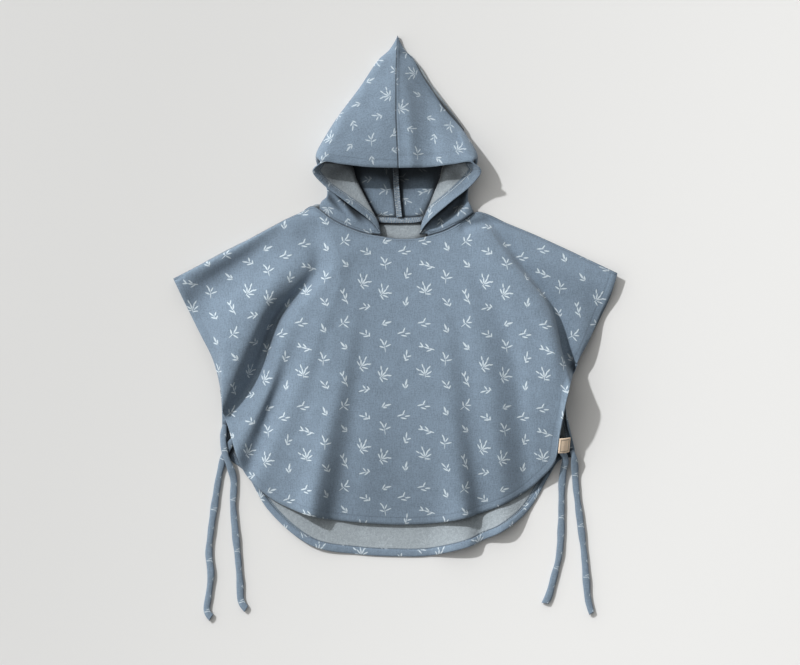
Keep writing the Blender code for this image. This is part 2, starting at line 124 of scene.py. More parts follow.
# The front panel's outer face. One line a row, from the neck or shoulder down to the edge.
FRONT_LINES = (
    # name, then (x, y, z) at the top, upper, middle, lower and edge sections
    ("left_hem", (-310, 24.5, 9), (-293, -11, 13), (-273, -52, 12), (-255, -88, 14), (-242, -140, 12)),
    ("left_cuff", (-250, 56, 3.4), (-240, 20, 17.5), (-243, -22, 23.5), (-246, -82, 24), (-241.8, -150, 10)),
    ("left_ridge", (-195, 85, 3.4), (-183, 41, 22.5), (-213, -12, 28), (-238, -88, 30.5), (-241, -158, 16.5)),
    ("brow", (-172, 97.5, 3.4), (-156, 45, 24.5), (-185, -21, 30.5), (-223, -105, 31.5), (-240.5, -162, 13)),
    ("left_slope", (-150, 109, 3.4), (-126, 47, 20), (-173, -27, 17), (-209, -110, 17), (-239.5, -166, 8)),
    ("left_dip", (-132, 116.4, 3.4), (-108, 45, 13.5), (-165, -31, 4.5), (-200, -118, 4), (-237.5, -172, 5)),
    ("left_crest", (-119, 120, 4.6), (-94, 43, 19), (-155, -32, 15.5), (-188, -127, 14), (-232.5, -187, 7)),
    ("left_hump", (-108, 117, 7.5), (-87, 41, 22.3), (-143, -35, 23.5), (-178, -135, 20), (-222, -221, 15)),
    ("left_dent", (-98, 112, 9.5), (-80, 36, 23.6), (-124, -43, 27.5), (-168, -142, 13.5), (-208, -251, 3.5)),
    ("left_bulge", (-89, 107, 10.3), (-76, 31, 24.2), (-107, -50, 31.5), (-147, -150, 27), (-196, -264, 9.5)),
    ("left_low", (-74, 99.5, 10.8), (-70, 19, 24.6), (-98, -71, 32), (-131, -177, 29), (-172, -284, 9)),
    ("left_quarter", (-58, 92.8, 10.9), (-62, 6, 24.8), (-87, -92, 34.5), (-114, -198, 34), (-146, -297, 13)),
    ("long_rise", (-48, 89.2, 10.8), (-50, -2, 25), (-70, -101, 35.5), (-96, -206, 39.5), (-118, -306.7, 29)),
    ("long_flank", (-38, 86.6, 10.6), (-39, -8, 24.5), (-53, -107, 31), (-68, -213, 27), (-86, -312.7, 8)),
    ("left_mid", (-22, 83.8, 10.5), (-25, -13, 24.5), (-34, -112, 31), (-40, -218, 29), (-52, -316.4, 8.5)),
    ("centre", (4, 80, 10.5), (4, -15, 24.5), (4, -115, 31), (6, -220, 26.5), (6, -319.5, 7.5)),
    ("right_mid", (30, 80.6, 10.5), (36, -13, 24.5), (44, -111, 32.5), (52, -217, 30), (56, -317.3, 9.5)),
    ("right_dip", (46, 83.6, 10.8), (60, -8, 25), (74, -103, 34), (84, -208, 34.5), (97, -310, 26)),
    ("right_ridge", (56, 86.6, 11), (78, 0, 25), (95, -95, 31.5), (107, -200, 27), (120, -303, 10)),
    ("right_quarter", (68, 90.5, 11.2), (97, 8, 26.5), (124, -83, 36), (140, -187, 34), (151, -291, 16)),
    ("outer_dip", (78, 95.2, 11.5), (119, 15, 26), (157, -66, 30), (173, -167, 26), (182, -273.5, 8)),
    ("right_low", (87, 100.2, 12), (128, 26, 28.5), (170, -56, 36.5), (190, -147, 35), (202, -256.5, 13)),
    ("right_label", (95, 105.5, 12), (140, 36, 32), (190, -40, 42), (211, -125, 43), (222, -233, 21)),
    ("right_high", (101, 110, 11.5), (148, 45, 31), (202, -25, 42), (224, -98, 47), (228, -196, 34)),
    ("right_side", (107, 114.5, 10), (155, 50, 28.5), (208.5, -17, 37.5), (230, -84, 43), (235.5, -155, 47)),
    ("right_top", (114, 117.5, 7.5), (160.5, 51, 25.5), (214, -15, 31), (234.5, -87, 37), (243.5, -123, 46)),
    ("right_fall", (120, 117.4, 6), (167, 51, 17), (217.5, -16, 18), (235.5, -86.5, 20), (246.5, -115.5, 28)),
    ("right_valley", (128, 114.9, 4.4), (174, 49, 13), (222, -15, 14.5), (242, -83, 15), (249, -109, 8)),
    ("right_bank", (152, 103.8, 3.4), (192, 47, 16), (232, -11, 17), (251, -77, 21), (250.5, -103, 13)),
    ("right_cuff", (205, 81.5, 3.4), (233, 37, 15), (257, -7, 15), (261, -70, 21), (251.5, -98.5, 17)),
    ("right_hem", (310, 31.5, 13), (302, 6, 12), (286, -28, 8), (271, -62, 15), (254, -93, 16)),
)

# Soft folds of the front panel: half widths on the path's left and right, as it is walked, then
# points (x, y, rise) along it, with a dip below zero
FRONT_FOLDS = (
    ("shoulder_crease", (13, 13), (-139, 109, -2), (-203, 60, -7), (-272, 18, -4)),
    ("neck_crease", (7, 7), (97, 95, -5), (120, 102, -6), (142, 103, -2)),
    ("shoulder_roll", (22, 8), (-129, 109, 3), (-167, 97, 7), (-206, 74.5, 9.5), (-244, 54, 10.5),
     (-277, 37, 8.5), (-294, 28, 5)),
    ("shoulder_dip", (30, 20), (-115, 88, -2), (-136, 77, -4.5), (-173, 53, -8), (-209, 33, -10),
     (-239, 15, -11), (-263, -1, -10), (-281, -15, -8)),
    ("neck_drape", (14, 10), (-24, 80, 0), (-60, 60, 1.2), (-96, 20, 0)),
)

# The back panel's outer face, which lies on the surface
BACK_LINES = (
    # name, then (x, y, z) at the top, upper, middle, lower and edge sections
    ("left_hem", (-309, 22, 0), (-292, -13, 0), (-272, -54, 0), (-254, -92, 1), (-241, -155, 1)),
    ("left_sleeve", (-240, 62, 0), (-238, 10, 0), (-238, -40, 0), (-238, -100, 0), (-242, -191, 0)),
    ("left_root", (-175, 93, 0), (-180, 25, 0), (-195, -40, 0), (-212, -120, 0), (-236, -223, 0)),
    ("left_neck", (-112, 119, 0), (-122, 40, 0), (-145, -45, 0), (-175, -145, 0), (-210, -246, 0)),
    ("left_quarter", (-72, 114.5, 0), (-84, 10, 0), (-110, -90, 0), (-135, -195, 0), (-176, -301, 1)),
    ("left_corner", (-46, 105.5, 0), (-56, -5, 0), (-75, -115, 0), (-95, -230, 0), (-117, -349, 4)),
    ("left_centre", (-20, 101.8, 0), (-28, -12, 0), (-38, -125, 0), (-45, -245, 0), (-52, -361, 0)),
    ("centre", (4, 101, 0), (4, -15, 0), (4, -130, 0), (4, -250, 0), (4, -364, 0)),
    ("right_centre", (30, 102, 0), (36, -12, 0), (44, -125, 0), (46, -245, 0), (48, -363, 0)),
    ("right_corner", (54, 105.5, 0), (68, -5, 0), (82, -115, 0), (91, -230, 1), (101, -351, 14)),
    ("right_wave", (70, 110.5, 0), (92, 5, 0), (108, -105, 0), (114, -215, 0), (122, -341.5, 4)),
    ("right_dip", (86, 116, 0), (112, 15, 0), (134, -90, 0), (143, -198, 0), (150, -329, 15)),
    ("right_swell", (100, 120, 0), (132, 25, 0), (158, -75, 0), (174, -172, 0), (187, -298, 1)),
    ("right_notch", (114, 116, 0), (152, 25, 0), (184, -65, 0), (204, -148, 0), (215, -252, 1.5)),
    ("right_tuck", (135, 111, 0), (168, 25, 0), (196, -58, 0), (216, -138, 1), (230, -229, 6)),
    ("right_edge", (160, 100, 0), (188, 22, 0), (210, -52, 0), (228, -128, 2), (250.5, -222, 8)),
    ("right_slit", (190, 87.2, 0), (212, 18, 0), (226, -46, 0), (234, -114, 3), (241, -183, 9)),
    ("right_side", (235, 67.2, 0), (246, 16, 0), (246, -36, 0), (243, -88, 2), (238, -142, 7)),
    ("right_hem", (309, 29.5, 0), (302.5, 4, 0), (287, -30, 0), (270, -64, 2), (252, -97, 5)),
)

# The hood's centre seam wanders: its distance from the garment's middle at some places up the hood
HOOD_SEAM = ((100, 8.0), (180, 4.5), (250, 1.5), (306, 1.5), (364, 3.3))
HOOD_HALF = 120.0     # half the hood's width, over which half of that distance fades

HOOD_HEM = {-1: 0.95, 1: 0.58}     # the panels' hem width over that of the face hem, on each side

# One half of the hood. Each row is a line of the cloth from the face edge, round the side, to the
# back centre seam. The first number of a point is its distance from the centre seam.
HOOD_LINES = (
    ("crown", (0, 178.5, 36), (0, 205, 36), (0, 236, 34), (0, 270, 30), (0, 305, 23),
     (0, 340, 13), (0, 364, 6), (0, 361.5, 0), (0, 350, 0)),
    ("tip", (20, 178.8, 37.5), (20.5, 208, 37), (21, 240, 34), (21.5, 270, 28), (22, 302, 19),
     (18.5, 337, 6), (13, 338.5, 0), (6.5, 337.5, 0), (0, 336.5, 0)),
    ("upper", (42, 179.5, 39), (44, 205, 38), (46, 233, 33), (48, 258, 26), (49.5, 278, 18),
     (50, 292.5, 8), (40, 299, 0), (20, 304, 0), (0, 307, 0)),
    ("middle", (78, 183.5, 42), (83, 197, 41), (88, 209, 37), (92, 219, 31), (95, 225.5, 23),
     (95.5, 229, 14), (86, 236, 0), (43, 250, 0), (0, 258, 0)),
    ("lower", (103, 185.5, 43), (107, 188.5, 42), (110, 191, 37), (112, 193, 31), (113, 194, 24),
     (112.5, 194, 14), (103, 196, 0), (52, 205, 0), (0, 212, 0)),
    ("corner", (117.5, 174, 38), (94, 179.5, 24.5), (66, 183, 15), (80, 182, 11), (100, 179, 10),
     (108.5, 174, 5), (96, 175, 0), (50, 178, 0), (0, 181, 0)),
    ("lapel", (105.5, 156.5, 32), (85, 161.5, 15.5), (60, 165, 8.5), (75, 162, 6), (89, 156, 8),
     (99, 149, 7), (90, 147, 0), (46, 147, 0), (0, 150, 0)),
    ("roll", (71, 129, 25), (57, 129, 17), (44, 128.5, 9), (58, 128, 6.5), (80, 130, 11),
     (98, 134, 8), (90, 134.5, 0), (46, 127, 0), (0, 126, 0)),
    ("base", (38, 101.5, 16), (35, 101, 13.5), (31, 100.5, 10.5), (42, 100.5, 9.5), (69, 108, 12.5),
     (102.5, 123.5, 8.5), (96, 126, 0), (49, 114.5, 0), (0, 112, 0)),
    ("neck", (27.5, 86.5, 13.5), (28, 86.4, 12.3), (29, 86, 11), (40, 88, 10.5), (69, 95, 11.5),
     (106, 115, 10), (99, 120.5, 0), (50, 107, 0), (0, 102, 0)),
)
HOOD_SEWN_FRONT = (3, 5)      # stations of the neck row that are sewn to the front panel's neckline
HOOD_SEWN_BACK = (6, 8)       # and to the back panel's

# The lining lies on the hood's back layer. Each point is its distance from the centre seam, and y.
LINING_LINES = (
    # name      seam side    middle       outer edge
    ("neck",   (0, 104.5), (22, 105.5), (44, 109.5)),
    ("roll",   (0, 128.0), (23, 128.0), (46, 128.5)),
    ("lapel",  (0, 155.0), (30, 155.0), (60, 155.5)),
    ("mouth",  (0, 180.0), (34, 180.0), (66, 180.0)),
    ("inside", (0, 235.0), (33, 233.0), (64, 226.0)),
)

# Each tie's centre line, from its root under the garment's edge to its cut end
TIES = {
    "tie_left_outer": (
        (-224, -196, 3.9), (-230, -206, 3.9), (-236, -217, 4.0), (-240.5, -228, 3.2), (-246, -249, 2.3),
        (-252.5, -290, 2.2), (-258, -329, 2.8), (-260.8, -360, 2.2), (-258, -389, 2.8), (-260.8, -417, 2.2),
        (-263.5, -440, 2.2), (-257.5, -450, 3.0)),
    "tie_left_inner": (
        (-238.5, -180, 4.0), (-240.5, -196, 5.8), (-240, -208, 7.8), (-237, -223, 8.6), (-231, -239, 6.6),
        (-226, -257, 3.0), (-227, -290, 2.8), (-225.8, -308, 2.2), (-223, -339, 2.8), (-220.2, -366, 2.2),
        (-217.4, -399, 2.2), (-215.5, -427, 2.2), (-208.5, -438, 3.0)),
    "tie_right_inner": (
        (223.5, -212, 22.6), (230.5, -217, 19.8), (236, -223, 15.5), (237.6, -231, 11.6), (235.5, -243, 5.5),
        (233.3, -262, 2.4), (232.6, -290, 2.8), (232.1, -325, 2.2), (229.3, -363, 2.8), (222.3, -392, 2.2),
        (215.3, -418, 2.2), (209.5, -430, 3.0)),
    "tie_right_outer": (
        (246.5, -216, 11.8), (249.6, -225, 11.7), (250.8, -236, 7.5), (251.5, -248, 3.4), (253.1, -270, 2.4),
        (258.7, -315, 2.8), (264.3, -361, 2.2), (267.1, -396, 2.8), (269.9, -425, 2.2), (275, -444, 3.0)),
}

# Folds of each side of the hood: the stations of its lines between which they lie, then as above, with
# each point's distance from the centre seam instead of x
HOOD_FOLDS = {
    -1: (
        ("face", (0, 4), (10, 16), (40, 284, 0), (56, 240, 1.2), (66, 205, 0)),
        ("side_full", (0, 5), (14, 9), (100, 205, 3), (84, 238, 5), (64, 272, 5), (40, 306, 4), (20, 334, 2)),
        ("inner_roll", (1, 3), (6, 6), (60, 166, 1), (44, 128, 1.5), (34, 104, 1.5)),
        ("neck_pleat", (3, 6), (5, 5), (94, 141, -2), (84, 127, -3.5), (70, 112, -2)),
        ("neck_tuck", (3, 6), (4, 5), (64, 122, -2), (52, 105, -2.5)),
    ),
    1: (
        ("side_fall", (0, 5), (34, 16), (82, 236, -9), (68, 266, -11), (47, 300, -8.5), (26, 328, -4)),
        ("seam_hollow", (0, 4), (14, 26), (24, 322, -1), (34, 285, -3), (42, 245, -5), (46, 205, -6),
         (48, 182, -5)),
        ("seam_fold", (0, 4), (9, 9), (10, 322, 1), (14, 285, 2), (18, 245, 3), (20, 205, 3), (20, 184, 2.5)),
        ("rim", (0, 2), (13, 14), (108, 160, -6), (96, 148, -6), (84, 138, -2), (70, 127, 2.5), (48, 110, 4)),
        ("neck_shoulder", (3, 6), (9, 12), (111, 150, 4), (104, 134, 6.5), (95, 118, 5.5), (86, 104, 3)),
        ("neck_hollow", (3, 6), (7, 7), (86, 132, -3.5), (70, 117, -4.5), (50, 101, -4)),
    ),
}

# A small move of all layers of cloth in plan: where, how far, and over what distance it fades
NUDGE_PLACE, NUDGE_MOVE, NUDGE_REACH = (-104, 123), (-5, 9), 17

# The print: how far sprigs stray from the middles of their cells, and after how many cells it repeats
SPRIG_STRAY = (0.14, 0.36)
PRINT_REPEAT = (6.0, 3.0)
PRINT_SEED = 7.0

# The leaf sprigs of the print, charted in millimetres. A leaf or stem starts at its foot and
# points at its angle in degrees, clockwise from up.
LEAVES = (
    # kind, foot, angle, length, half width
    (0, (-7.8, 6.0), 128, 8.6, 0.95),
    (0, (-4.6, -1.2), 108, 8.2, 0.95),
    (0, (2.8, 6.4), 196, 6.4, 0.95),
    (0, (5.4, 0.6), 200, 6.0, 0.95),
    (0, (-5.4, 4.6), 132, 13.5, 0.4),
    (1, (2.6, 8.2), 203, 9.4, 1.0),
    (1, (-4.6, 2.4), 156, 7.4, 0.95),
    (1, (3.4, 0.6), 216, 6.2, 0.9),
    (1, (-2.0, -6.2), 22, 13.0, 0.4),
    (2, (-9.6, 3.8), 114, 8.0, 0.95),
    (2, (-3.6, 1.2), -14, 7.4, 1.0),
    (2, (-2.6, 0.4), 128, 8.0, 0.95),
    (2, (3.6, -3.0), -22, 7.8, 1.0),
    (2, (-1.8, -6.6), 90, 9.0, 0.95),
    (2, (3.8, -3.8), 130, 8.0, 0.75),
    (2, (-5.0, 2.4), 128, 12.0, 0.4),
    (3, (0.4, 0.4), 222, 10.4, 0.5),
    (3, (-0.8, -2.0), 116, 9.0, 0.9),
    (3, (-2.6, -1.6), -22, 7.2, 1.0),
    (3, (-0.2, 0.6), 26, 8.2, 1.0),
    (3, (0.6, 0.2), 74, 7.4, 0.9),
    (3, (2.2, 6.0), 14, 5.0, 0.9),
    (4, (-0.6, -4.4), -42, 8.6, 0.95),
    (4, (0.2, -4.2), -8, 9.4, 1.0),
    (4, (1.0, -4.0), 26, 9.6, 1.0),
    (4, (1.6, -5.4), 62, 9.2, 0.95),
    (4, (-1.0, -5.8), -74, 8.4, 0.95),
    (4, (0.2, -7.4), 98, 7.6, 0.9),
    (4, (-1.6, 4.2), -16, 6.4, 0.95),
    (4, (4.8, 2.4), 40, 5.6, 0.9),
    (4, (-6.8, 0.6), -52, 6.4, 0.9),
    (4, (0.2, -9.6), 0, 8.0, 0.45),
    (5, (-8.8, -4.8), 62, 8.6, 0.95),
    (5, (-3.8, -6.0), 90, 8.6, 0.95),
    (5, (-1.8, -1.6), 14, 7.2, 0.95),
    (5, (1.4, -3.2), 72, 8.0, 0.95),
    (5, (-9.4, -5.4), 64, 12.0, 0.4),
)
KINDS = 1 + max(leaf[0] for leaf in LEAVES)


# Properties

def number(name, description, default, low, high, **kind):
    """A property for a number."""
    return FloatProperty(name=name, description=description, default=default, min=low, max=high, **kind)


def metres(name, description, default, low, high):
    """A property for a length in metres."""
    return number(name, description, default, low, high, unit="LENGTH")


def degrees(name, description, *values):
    """A property for an angle, from values in degrees."""
    return number(name, description, *map(math.radians, values), subtype="ANGLE")


def rgb(name, description, *default):
    """A property for a colour."""
    return FloatVectorProperty(
        name=name, description=description, default=default, min=0, max=1, subtype="COLOR")


class PonchoSizes(bpy.types.PropertyGroup):
    """Sizes of the cloth's finish."""

    cloth: metres("Cloth", "Thickness of one layer of cloth", 0.0015, 0.0008, 0.003)
    lining: metres("Lining", "Thickness of the hood's lining", 0.0013, 0.0008, 0.003)
    mesh: metres("Mesh", "Distance between the grid's points on a panel", 0.003, 0.0015, 0.01)
    hem: metres("Hem", "Width of the turned hems", 0.0105, 0.005, 0.03)
    stitch: metres("Stitch", "Length of one stitch of the topstitching", 0.003, 0.0015, 0.006)
    thread: metres("Thread pitch", "Distance between the threads of the weave", 0.0008, 0.0003, 0.003)
    sprig_across: metres("Sprigs across", "Distance between sprigs, side to side", 0.0284, 0.02, 0.08)
    sprig_down: metres("Sprigs down", "Distance between sprigs, up and down", 0.0386, 0.02, 0.08)


class PonchoColours(bpy.types.PropertyGroup):
    """Colours of the cloth, the print and the stage."""

    cloth: rgb("Cloth", "The printed side's ground colour", 0.154, 0.208, 0.273)
    reverse: rgb("Reverse", "The unprinted side of the cloth", 0.305, 0.35, 0.387)
    sprig: rgb("Sprigs", "The print's leaves", 0.53, 0.61, 0.67)
    thread: rgb("Thread", "Sewing thread", 0.16, 0.22, 0.30)
    overlock: rgb("Overlock thread", "Thread of the overlocked edges", 0.50, 0.53, 0.54)
    label: rgb("Label", "The bare woven label", 0.90, 0.72, 0.55)
    floor: rgb("Floor", "The surface that the garment lies on", 0.697, 0.703, 0.710)


class PonchoStage(bpy.types.PropertyGroup):
    """Light and camera."""

    sun: number("Sun", "Strength of the sun lamp", 2.88, 0, 10)
    sun_height: degrees("Sun height", "Angle of the sun above the floor", 38, 0, 90)
    sun_heading: degrees("Sun heading", "Heading of its travel, anticlockwise from +X", -41.6, -180, 180)
    sun_size: degrees("Sun size", "Apparent size of the sun, which softens shadows", 2.2, 0, 28)
    sky: number("Sky", "Strength of the light from all round", 0.46, 0, 5)
    camera_height: metres("Camera height", "Height of the camera above the floor", 6.0, 1, 20)


# Curves and grids

def unit(vectors):
    """Vectors made one long."""
    return vectors / np.linalg.norm(vectors, axis=-1, keepdims=True)


def length_along(path):
    """How far along a line each of its points lies."""
    return np.concatenate([[0.0], np.cumsum(np.linalg.norm(np.diff(path, axis=0), axis=1))])


def knots_of(points):
    """Centripetal spacing, which keeps a curve from looping between close points."""
    chords = np.linalg.norm(np.diff(points, axis=0), axis=1)
    return np.concatenate([[0.0], np.cumsum(np.sqrt(np.maximum(chords, 1e-6)))])


def spline(points, steps):
    """A smooth curve through the points, with a number of steps for each stretch, or one for all."""
    points = np.asarray(points, float)
    knots = knots_of(points)
    spans = np.diff(knots)[:, None]
    slopes = np.diff(points, axis=0) / spans
    tangents = np.empty_like(points)
    before, after = spans[:-1], spans[1:]
    tangents[1:-1] = (slopes[:-1] * after + slopes[1:] * before) / (before + after)
    tangents[0] = 1.5 * slopes[0] - 0.5 * tangents[1]
    tangents[-1] = 1.5 * slopes[-1] - 0.5 * tangents[-2]
    curve = []
    for index, count in enumerate(np.broadcast_to(steps, len(spans))):
        span = spans[index]
        t = (np.arange(count) / count)[:, None]
        curve.append((2 * t**3 - 3 * t**2 + 1) * points[index]
                     + (t**3 - 2 * t**2 + t) * span * tangents[index]
                     + (3 * t**2 - 2 * t**3) * points[index + 1]
                     + (t**3 - t**2) * span * tangents[index + 1])
    curve.append(points[-1:])
    return np.concatenate(curve)


def mean_steps(grid):
    """The mean distance from each row of a grid to the next, and from each column to the next."""
    return [np.linalg.norm(np.diff(grid, axis=axis), axis=2).mean(axis=1 - axis) for axis in (0, 1)]


def even_steps(table, spacing):
    """Steps along each axis of a table of points, for a grid of about that spacing."""
    return [np.maximum(2, np.round(stretch / spacing)).astype(int) for stretch in mean_steps(table)]


def loft(table, spacing):
    """A fine grid through a table's points: its rows follow the table's second axis."""
    between, down = even_steps(table, spacing)
    columns = [spline(line, down) for line in table]
    return np.array([spline(section, between) for section in np.stack(columns, axis=1)])


def table_of(lines):
    """The points of a table of named lines."""
    return np.array([line[1:] for line in lines], float)


def columns_between(steps, first, last):
    """The columns of a lofted grid from one line of its table to another."""
    return slice(int(steps[:first].sum()), int(steps[:last].sum()) + 1)


def fold_rise(plan, path, half_widths):
    """How far a soft fold lifts each point: it fades away from its path, and past its ends."""
    nodes = spline(path, 6)
    nearest = np.full(plan.shape[:2], np.inf)
    rise = np.zeros(plan.shape[:2])
    width = np.ones(plan.shape[:2])
    for start, end in zip(nodes[:-1], nodes[1:]):
        run = end[:2] - start[:2]
        offset = plan - start[:2]
        share = np.clip((offset @ run) / (run @ run), 0.0, 1.0)
        distance = np.linalg.norm(offset - share[:, :, None] * run, axis=2)
        left = run[0] * offset[:, :, 1] - run[1] * offset[:, :, 0] > 0
        closer = distance < nearest
        nearest[closer] = distance[closer]
        rise[closer] = (start[2] + (end[2] - start[2]) * share)[closer]
        width[closer] = np.where(left, *half_widths)[closer]
    return rise * np.exp(-(nearest / width) ** 2)


def nudge(grid):
    """Moves the points near the nudge's place, fading with distance."""
    distance = np.linalg.norm(grid[:, :, :2] - NUDGE_PLACE, axis=2)
    grid[:, :, :2] += np.exp(-(distance / NUDGE_REACH) ** 2)[:, :, None] * NUDGE_MOVE


def normals_of(grid):
    """Unit normals of a grid's points, each from the cells around it."""
    cells = np.cross(grid[1:, 1:] - grid[:-1, :-1], grid[:-1, 1:] - grid[1:, :-1])
    normals = np.zeros_like(grid)
    for rows in (slice(None, -1), slice(1, None)):
        for columns in (slice(None, -1), slice(1, None)):
            normals[rows, columns] += cells
    return unit(normals)


# The flat pattern of a piece of cloth, in complex numbers x + iy

def rest_on_grid(along, down):
    """The positions on a grid whose steps come closest to the given ones along and down it."""
    rows, columns = down.shape[0] + 1, along.shape[1] + 1
    excess = np.zeros((rows, columns), complex)
    excess[:, :-1] += along
    excess[:, 1:] -= along
    excess[:-1] += down
    excess[1:] -= down
    mirrored = np.concatenate([excess, excess[::-1]])
    mirrored = np.concatenate([mirrored, mirrored[:, ::-1]], axis=1)
    waves = [2 * np.cos(np.pi * np.arange(2 * count) / count) - 2 for count in (rows, columns)]
    bend = waves[0][:, None] + waves[1][None, :]
    bend[0, 0] = 1.0
    spectrum = np.fft.fft2(mirrored) / bend
    spectrum[0, 0] = 0.0
    return np.fft.ifft2(spectrum)[:rows, :columns]


def flatten(grid, start, rounds=60):
    """The flat cloth that a grid was cut from, worked out from a first guess.

    Each cell keeps its own shape as nearly as its neighbours let it, turned to fit them.
    """
    along, down = np.diff(grid, axis=1), np.diff(grid, axis=0)
    first = (along[:-1] + along[1:]) / 2
    second = (down[:, :-1] + down[:, 1:]) / 2
    ahead = unit(first)
    aside = np.cross(ahead, unit(np.cross(first, second)))

    def in_cell(edges):
        return (edges * ahead).sum(axis=2) + 1j * (edges * aside).sum(axis=2)

    shape = [in_cell(along[:-1]), in_cell(along[1:]), in_cell(down[:, :-1]), in_cell(down[:, 1:])]
    flat = start
    for _ in range(rounds):
        steps = np.diff(flat, axis=1), np.diff(flat, axis=0)
        edges = [steps[0][:-1], steps[0][1:], steps[1][:, :-1], steps[1][:, 1:]]
        turn = sum(edge * np.conj(own) for edge, own in zip(edges, shape))
        turn /= np.maximum(np.abs(turn), 1e-9)
        wanted = [np.zeros(step.shape, complex) for step in steps]
        weight = [np.zeros(step.shape) for step in steps]
        for cells, own_across, own_down in ((slice(None, -1), shape[0], shape[2]),
                                            (slice(1, None), shape[1], shape[3])):
            wanted[0][cells] += turn * own_across
            weight[0][cells] += 1
            wanted[1][:, cells] += turn * own_down
            weight[1][:, cells] += 1
        flat = rest_on_grid(wanted[0] / weight[0], wanted[1] / weight[1])
    return flat


def flat_panel(grid):
    """The flat pattern of a laid panel, upright and with its middle at the panel's."""
    start = grid[:, :, 0] + 1j * grid[:, :, 1]
    flat = flatten(grid, start)
    turn = np.vdot(flat - flat.mean(), start - start.mean())
    return (flat - flat.mean()) * turn / abs(turn) + start.mean()


def flat_hood(grid):
    """The flat pattern of a hood half, started from the mean distances of its lines."""
    down, across = (np.concatenate([[0], np.cumsum(steps)]) for steps in mean_steps(grid))
    return flatten(grid, across[None, :] - 1j * down[:, None])


def flat_area(flat):
    """The area of a flat pattern, in square metres."""
    diagonals = (flat[1:, 1:] - flat[:-1, :-1]) * np.conj(flat[:-1, 1:] - flat[1:, :-1])
    return float(np.abs(diagonals.imag).sum() / 2) * MM**2


def edge_map(flat, sides, reach=FAR):
    """For each point, how far along some sides it lies + i times how far in from the nearest one."""
    borders = {"top": flat[0], "first": flat[:, 0], "bottom": flat[-1], "last": flat[::-1, -1]}
    path = np.concatenate([borders[side] for side in sides])
    away = np.full(flat.shape, reach)
    walked = np.zeros(flat.shape)
    near = np.zeros(flat.shape, bool)
    for corner in path[::4]:
        near |= np.abs(flat - corner) < reach
    spots = flat[near]
    offset = 0.0
    for start, end in zip(path[:-1], path[1:]):
        run = end - start
        if abs(run) < 1e-6:
            continue
        share = np.clip(((spots - start) * np.conj(run)).real / abs(run) ** 2, 0, 1)
        distance = np.abs(spots - start - share * run)
        closer = distance < away[near]
        away[near] = np.where(closer, distance, away[near])
        walked[near] = np.where(closer, offset + share * abs(run), walked[near])
        offset += abs(run)
    return walked + 1j * away


def seam_map(flat, topstitched, plain=None):
    """The edge map of a topstitched seam, and of a plain one where that one is nearer."""
    seam = edge_map(flat, [topstitched], SEAM_FAR)
    if plain:
        near = edge_map(flat, [plain], SEAM_FAR).imag
        seam = np.where(near < seam.imag, PLAIN + 1j * near, seam)
    return seam


def panel_maps(flat):
    """A panel's maps: its flat pattern, its hems at the sides and below, and its seam at the top."""
    return {"cloth": flat, "hem": edge_map(flat, ("first", "bottom", "last")), "seam": seam_map(flat, "top")}


# Meshes

def cloth_faces(outer, inner):
    """A closed wall with rounded edges between two grids: points, faces, slots and each point's source.

    The outer face and the outer half of its edge take the first material, and the rest takes the second.
    """
    rows, columns = outer.shape[:2]
    count = rows * columns
    index = np.arange(count).reshape(rows, columns)
    face = np.stack([index[:-1, :-1], index[1:, :-1], index[1:, 1:], index[:-1, 1:]], axis=2).reshape(-1, 4)
    rim = np.concatenate([index[:-1, 0], index[-1, :-1], index[:0:-1, -1], index[0, :0:-1]])
    inside = np.concatenate([index[:-1, 1], index[-2, :-1], index[:0:-1, -2], index[1, :0:-1]])
    flat_outer, flat_inner = outer.reshape(-1, 3), inner.reshape(-1, 3)
    middle = (flat_outer[rim] + flat_inner[rim]) / 2
    away = middle - (flat_outer[inside] + flat_inner[inside]) / 2
    points = np.concatenate([flat_outer, flat_inner, middle + unit(away) * EDGE_ROUND])
    ring = 2 * count + np.arange(len(rim))
    after = np.roll(ring, -1)
    rim_after = np.roll(rim, -1)
    faces = np.concatenate([face, face[:, ::-1] + count, np.stack([rim, ring, after, rim_after], axis=1),
                            np.stack([ring, rim + count, rim_after + count, after], axis=1)])
    slots = np.repeat([0, 1, 0, 1], [len(face), len(face), len(rim), len(rim)])
    return points, faces, slots, np.concatenate([index.ravel(), index.ravel(), rim])


def read(items, name, width, kind=np.float32):
    """One property of all of a mesh's items, a row for each."""
    values = np.empty(len(items) * width, kind)
    items.foreach_get(name, values)
    return values.reshape(-1, width)


def add_map(mesh, name, values):
    """Adds a UV map from each point's complex number."""
    corners = values[read(mesh.loops, "vertex_index", 1, np.int32)[:, 0]]
    pairs = np.stack([corners.real, corners.imag], axis=1)
    mesh.uv_layers.new(name=name).uv.foreach_set("vector", pairs.astype(np.float32).ravel())


def mesh_object(name, points, faces, cloths, maps, slots=None):
    """A smooth mesh object from points and maps in millimetres."""
    mesh = bpy.data.meshes.new(name)
    mesh.from_pydata((points * MM).tolist(), [], faces)
    for material in cloths:
        mesh.materials.append(material)
    if slots is not None:
        mesh.polygons.foreach_set("material_index", slots.astype(np.int32))
    for label, values in maps.items():
        add_map(mesh, label, values * MM)
    mesh.shade_smooth()
    piece = bpy.data.objects.new(name, mesh)
    bpy.context.scene.collection.objects.link(piece)
    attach(piece, BODY)
    return piece


def cloth_piece(name, outer, inner, maps, cloths, side=1):
    """A piece of cloth from its two faces and its maps. On the left side, its faces are turned round."""
    points, faces, slots, source = cloth_faces(outer, inner)
    if side < 0:
        faces = faces[:, ::-1]
    maps = {label: values.ravel()[source] for label, values in maps.items()}
    return mesh_object(name, points, faces.tolist(), cloths, maps, slots)


# The pieces' surfaces

